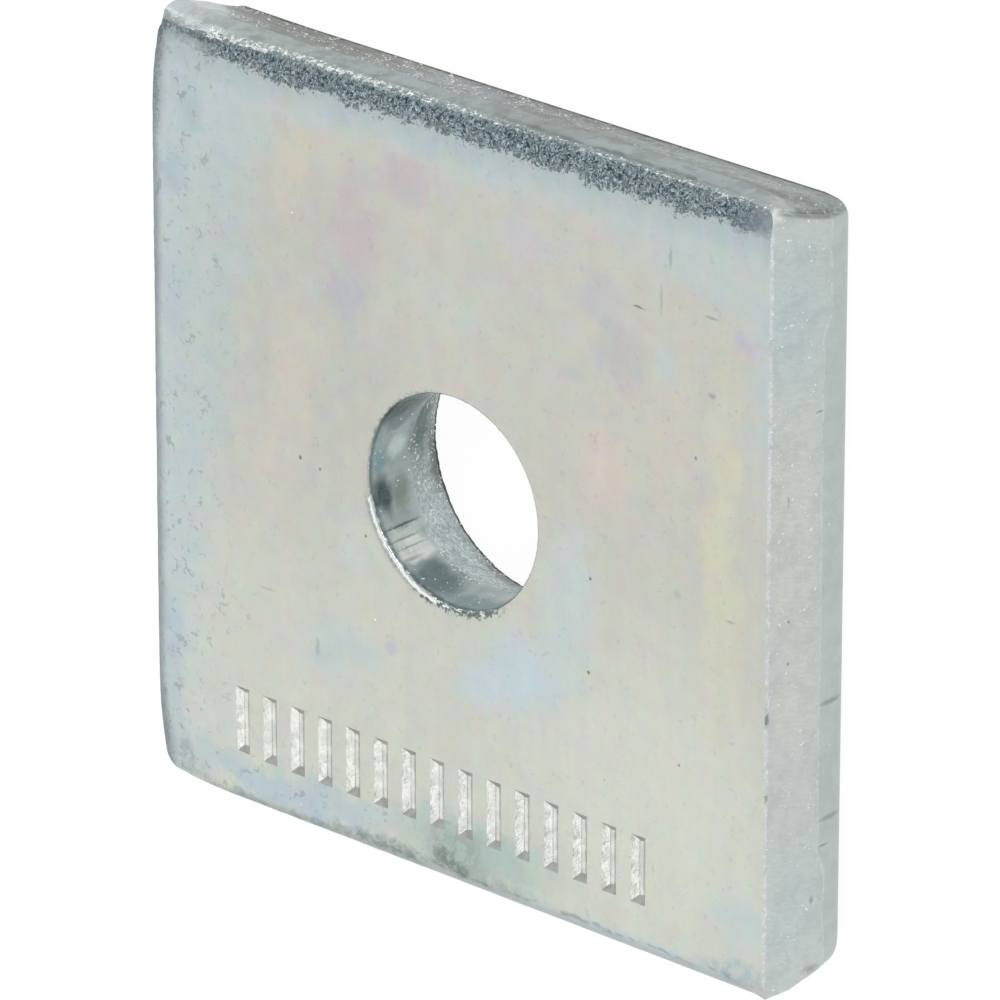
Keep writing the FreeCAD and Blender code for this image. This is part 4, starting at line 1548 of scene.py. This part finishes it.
@dataclass
class PlateWasher:
    """The whole washer: its body, its stamped row and its finishes."""

    body: PlateBody = field(default_factory=PlateBody)
    row: TallyRow = field(default_factory=TallyRow)

    def zone(self, face: bpy.types.MeshPolygon) -> Zone:
        """Tell which surface a face belongs to.

        Args:
            face: The face.

        Returns:
            Its zone.
        """
        x, y, z = face.center
        up = face.normal.z
        if math.hypot(x, y) < self.body.breakout_radius + 0.02 * MM and z > 0.02 * MM:
            inner = math.hypot(x, y) < self.body.bore_radius + 0.1 * MM or z < self.body.bore_foot
            return Zone.PUNCHED if inner else Zone.ROLLED
        if abs(up) > 0.5 and (z > 3 * MM or z < 0.02 * MM):
            if y > self.body.crest_y(x) and x < -11.5 * MM and z > 3 * MM:
                return Zone.SHEARED
            inset = self.body.half * (1 - self.body.ring_size(x, y))
            return Zone.ROLLED if inset < 3.2 * MM and z > 3 * MM else Zone.FACE
        on_x = x > self.body.half - 2.2 * MM and abs(face.normal.x) > abs(face.normal.y)
        return Zone.PARTED if on_x else Zone.SHEARED

    def dress(self, bench: Bench) -> None:
        """Give each surface its finish.

        Args:
            bench: The bench with the washer.
        """
        effects = Effects()
        finishes = {
            Zone.FACE: FaceZinc().make(effects, sandy=False),
            Zone.ROLLED: FaceZinc().make(effects, sandy=True),
            # The sheared sides get darker land and broken colours than the parted side at +X: partly their own tone,
            # partly painted shade for the darker reflection on the +Y side.
            Zone.SHEARED: BrokenZinc(
                "zinc_sheared", grey(176, 187, 188), grey(160, 162, 158), grey(104, 104, 100),
                specks=1.1, speck_fade=(1.0, 9.0), speck_side=(17.5, 19.3), speck_lean=45.0,
                speck_stretch=(0.65, 1.2, 1.5), blotch=0.35,
                patches=(
                    Patch((-20.0, 20.2, 4.3), (3.6, 3.0, 3.4), grey(216, 223, 225), 0.9),
                    Patch((-13.5, 20.6, 4.9), (4.5, 3.0, 0.8), grey(184, 194, 190), 0.7),
                    Patch((-6.0, 20.3, 0.9), (2.4, 3.0, 0.7), grey(208, 214, 212), 0.5),
                    Patch((-3.0, 20.3, 2.4), (5.0, 3.0, 1.8), grey(192, 200, 206), 0.8),
                    Patch((13.0, 20.3, 1.9), (12.0, 3.0, 1.8), grey(194, 206, 202), 0.85),
                    Patch((4.5, 20.6, 4.8), (3.5, 3.0, 0.9), grey(160, 160, 156), 0.6),
                    # Painted shade: the two dark bands just under the crest at +Y.
                    Patch((9.5, 20.6, 5.6), (9.5, 3.0, 0.4), grey(112, 128, 128), 0.85),
                    Patch((-5.0, 20.6, 5.6), (6.5, 3.0, 0.3), grey(140, 154, 150), 0.6),
                    Patch((19.8, 20.4, 4.6), (1.2, 3.0, 1.6), grey(196, 204, 202), 0.8),
                ),
                # Painted highlight: a white spot at the top of the +X/+Y corner.
                nicks=(Patch((20.2, 20.3, 5.7), (0.4, 0.4, 0.5), grey(250, 252, 250), 0.9),),
            ).make(effects),
            Zone.PARTED: BrokenZinc(
                "zinc_parted", grey(203, 211, 208), grey(216, 222, 218), grey(164, 176, 175),
                lean=17.0, grain_stretch=(1.0, 2.2, 0.6), grain_scale=2.6, grain_share=0.14, streak_share=0.12,
                blotch=0.2, specks=0.55, land_specks=0.0, border=0.3, foot=0.2, relief=0.3, lip=0.55, crest_share=0.15,
                patches=(
                    Patch((20.5, 15.0, 4.5), (4.0, 4.5, 2.2), grey(206, 221, 222), 0.7),
                    Patch((20.5, 4.0, 4.5), (4.0, 6.0, 2.0), grey(228, 226, 216), 0.6),
                    Patch((20.5, -5.0, 4.2), (4.0, 3.0, 1.4), grey(230, 228, 218), 0.6),
                    Patch((20.5, -16.5, 4.4), (4.0, 3.5, 2.0), grey(210, 222, 222), 0.6),
                    Patch((20.5, 12.5, 1.2), (4.0, 9.0, 1.0), grey(202, 210, 208), 0.5),
                ),
                nicks=(
                    Patch((20.6, -5.95, 1.8), (1.0, 0.17, 0.95), grey(150, 163, 160), 0.8),
                    Patch((20.6, -12.1, 1.7), (1.0, 0.16, 0.95), grey(150, 163, 160), 0.7),
                    Patch((20.6, -13.5, 2.2), (1.0, 0.06, 0.4), grey(130, 142, 140), 0.7),
                    Patch((20.5, -16.2, 3.0), (1.0, 0.25, 0.14), grey(150, 160, 158), 0.7),
                    Patch((20.5, -3.1, 4.8), (1.0, 0.1, 0.1), grey(140, 142, 132), 0.7),
                    Patch((20.5, -0.9, 4.8), (1.0, 0.1, 0.08), grey(130, 132, 124), 0.7),
                    Patch((20.5, 5.4, 4.9), (1.0, 0.3, 0.07), grey(160, 168, 164), 0.7),
                    Patch((20.5, 9.5, 2.85), (1.0, 0.08, 0.3), grey(130, 138, 136), 0.6),
                    Patch((20.0, -19.9, 3.0), (0.8, 0.3, 0.8), grey(120, 128, 126), 0.7),
                    Patch((20.3, -5.6, 6.25), (0.5, 0.6, 0.2), grey(140, 148, 150), 0.9),
                    Patch((20.3, -9.8, 6.25), (0.5, 0.3, 0.2), grey(140, 148, 150), 0.8),
                    # Painted highlight: a white spot at the top of the +X/+Y corner.
                    Patch((20.2, 20.3, 5.7), (0.4, 0.4, 0.5), grey(250, 252, 250), 0.9),
                ),
            ).make(effects),
            Zone.PUNCHED: BrokenZinc(
                "zinc_punched", grey(186, 200, 198), grey(206, 218, 217), grey(92, 106, 107),
                streak_share=0.22, specks=1.05, land_specks=0.45, border=0.1, grain_share=0.38, blotch=0.2, tear=0.12,
                round_bore=True,
                patches=(
                    # Painted shade: the dark crescent near the bore's mouth. Painted highlights: the near-white patches
                    # on the bore wall.
                    Patch((-4.0, 0.0, 5.0), (1.5, 3.0, 1.9), grey(50, 58, 56), 1.0, 0.6),
                    Patch((-2.6, 0.0, 4.7), (0.7, 3.0, 1.0), grey(134, 144, 152), 0.85, 0.35),
                    Patch((-0.95, 0.0, 4.3), (0.7, 3.0, 0.8), grey(222, 240, 236), 0.9, 0.35),
                    Patch((-0.5, 0.0, 5.6), (0.8, 3.0, 0.5), grey(146, 186, 190), 0.85, 0.3),
                    Patch((1.4, 0.0, 5.5), (1.2, 3.0, 0.8), grey(64, 82, 88), 0.95, 0.45),
                    Patch((1.5, 0.0, 4.2), (1.1, 3.0, 0.7), grey(158, 171, 160), 0.95, 0.3),
                    Patch((3.6, 0.0, 5.0), (0.55, 3.0, 1.6), grey(226, 238, 228), 0.9, 0.2),
                    Patch((4.5, 0.0, 4.9), (0.9, 3.0, 1.5), grey(252, 255, 250), 0.95, 0.25),
                    Patch((6.5, 0.0, 4.9), (1.5, 3.0, 1.8), grey(118, 138, 140), 0.95, 0.35),
                    Patch((9.4, 0.0, 5.3), (1.9, 3.0, 0.9), grey(138, 168, 168), 0.8, 0.4),
                    Patch((-1.4, 0.0, 2.2), (2.2, 3.0, 1.6), grey(102, 126, 126), 0.9),
                    Patch((5.0, 0.0, 2.2), (3.4, 3.0, 1.7), grey(234, 246, 248), 0.9),
                    Patch((0.8, 0.0, 0.5), (1.8, 3.0, 0.6), grey(128, 134, 130), 0.8),
                    Patch((7.4, 0.0, 0.6), (1.8, 3.0, 0.6), grey(158, 162, 158), 0.7),
                ),
                nicks=(
                    Patch((3.12, 0.0, 4.9), (0.07, 3.0, 1.5), grey(80, 92, 86), 0.8),
                    Patch((3.78, 0.0, 5.1), (0.07, 3.0, 1.3), grey(136, 148, 138), 0.7),
                    Patch((4.27, 0.0, 5.0), (0.06, 3.0, 1.2), grey(146, 158, 148), 0.7),
                    Patch((4.9, 0.0, 5.3), (0.12, 3.0, 0.8), grey(150, 164, 158), 0.6),
                ),
            ).make(effects),
            Zone.STAMPED: StampedZinc().make(effects),
        }
        bench.piece.data.materials.clear()
        for zone in Zone:
            bench.piece.data.materials.append(finishes[zone])
        row = self.row
        reach = row.stroke_height * 0.6
        end_x = row.first_x + row.pitch * (row.count - 1) + row.stroke_width
        for face in bench.piece.data.polygons:
            x, y, z = face.center
            in_row = row.first_x - row.stroke_width < x < end_x and abs(y - row.middle_y) < reach
            if in_row and z > 3 * MM and (face.normal.z < 0.98 or z < self.body.thickness - 0.7 * row.depth):
                face.material_index = Zone.STAMPED.value
            else:
                face.material_index = self.zone(face).value

    def build(self) -> bpy.types.Object:
        """Model and dress the washer.

        Returns:
            The finished piece.
        """
        bench = self.body.shape()
        self.body.weigh_places(bench)
        self.body.weigh_wear(bench)
        bench.rest()
        self.body.bend(bench)
        self.row.stamp(bench, self.body.thickness)
        bpy.ops.object.shade_smooth_by_angle(angle=math.radians(32))
        self.dress(bench)
        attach(bench.piece, "root")
        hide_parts("plate_washer")
        return bench.piece


def main() -> None:
    """Build the pieces in order and report each one."""
    logging.basicConfig(level=logging.INFO, format="%(name)s: %(message)s")
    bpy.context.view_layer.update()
    bpy.context.scene.view_settings.view_transform = "Standard"
    studio = Studio()
    studio.lay_floor()
    studio.light()
    studio.place_camera()
    LOG.info("studio set")
    washer = PlateWasher().build()
    LOG.info("%s: %d faces", washer.name, len(washer.data.polygons))


if __name__ == "__main__":
    main()
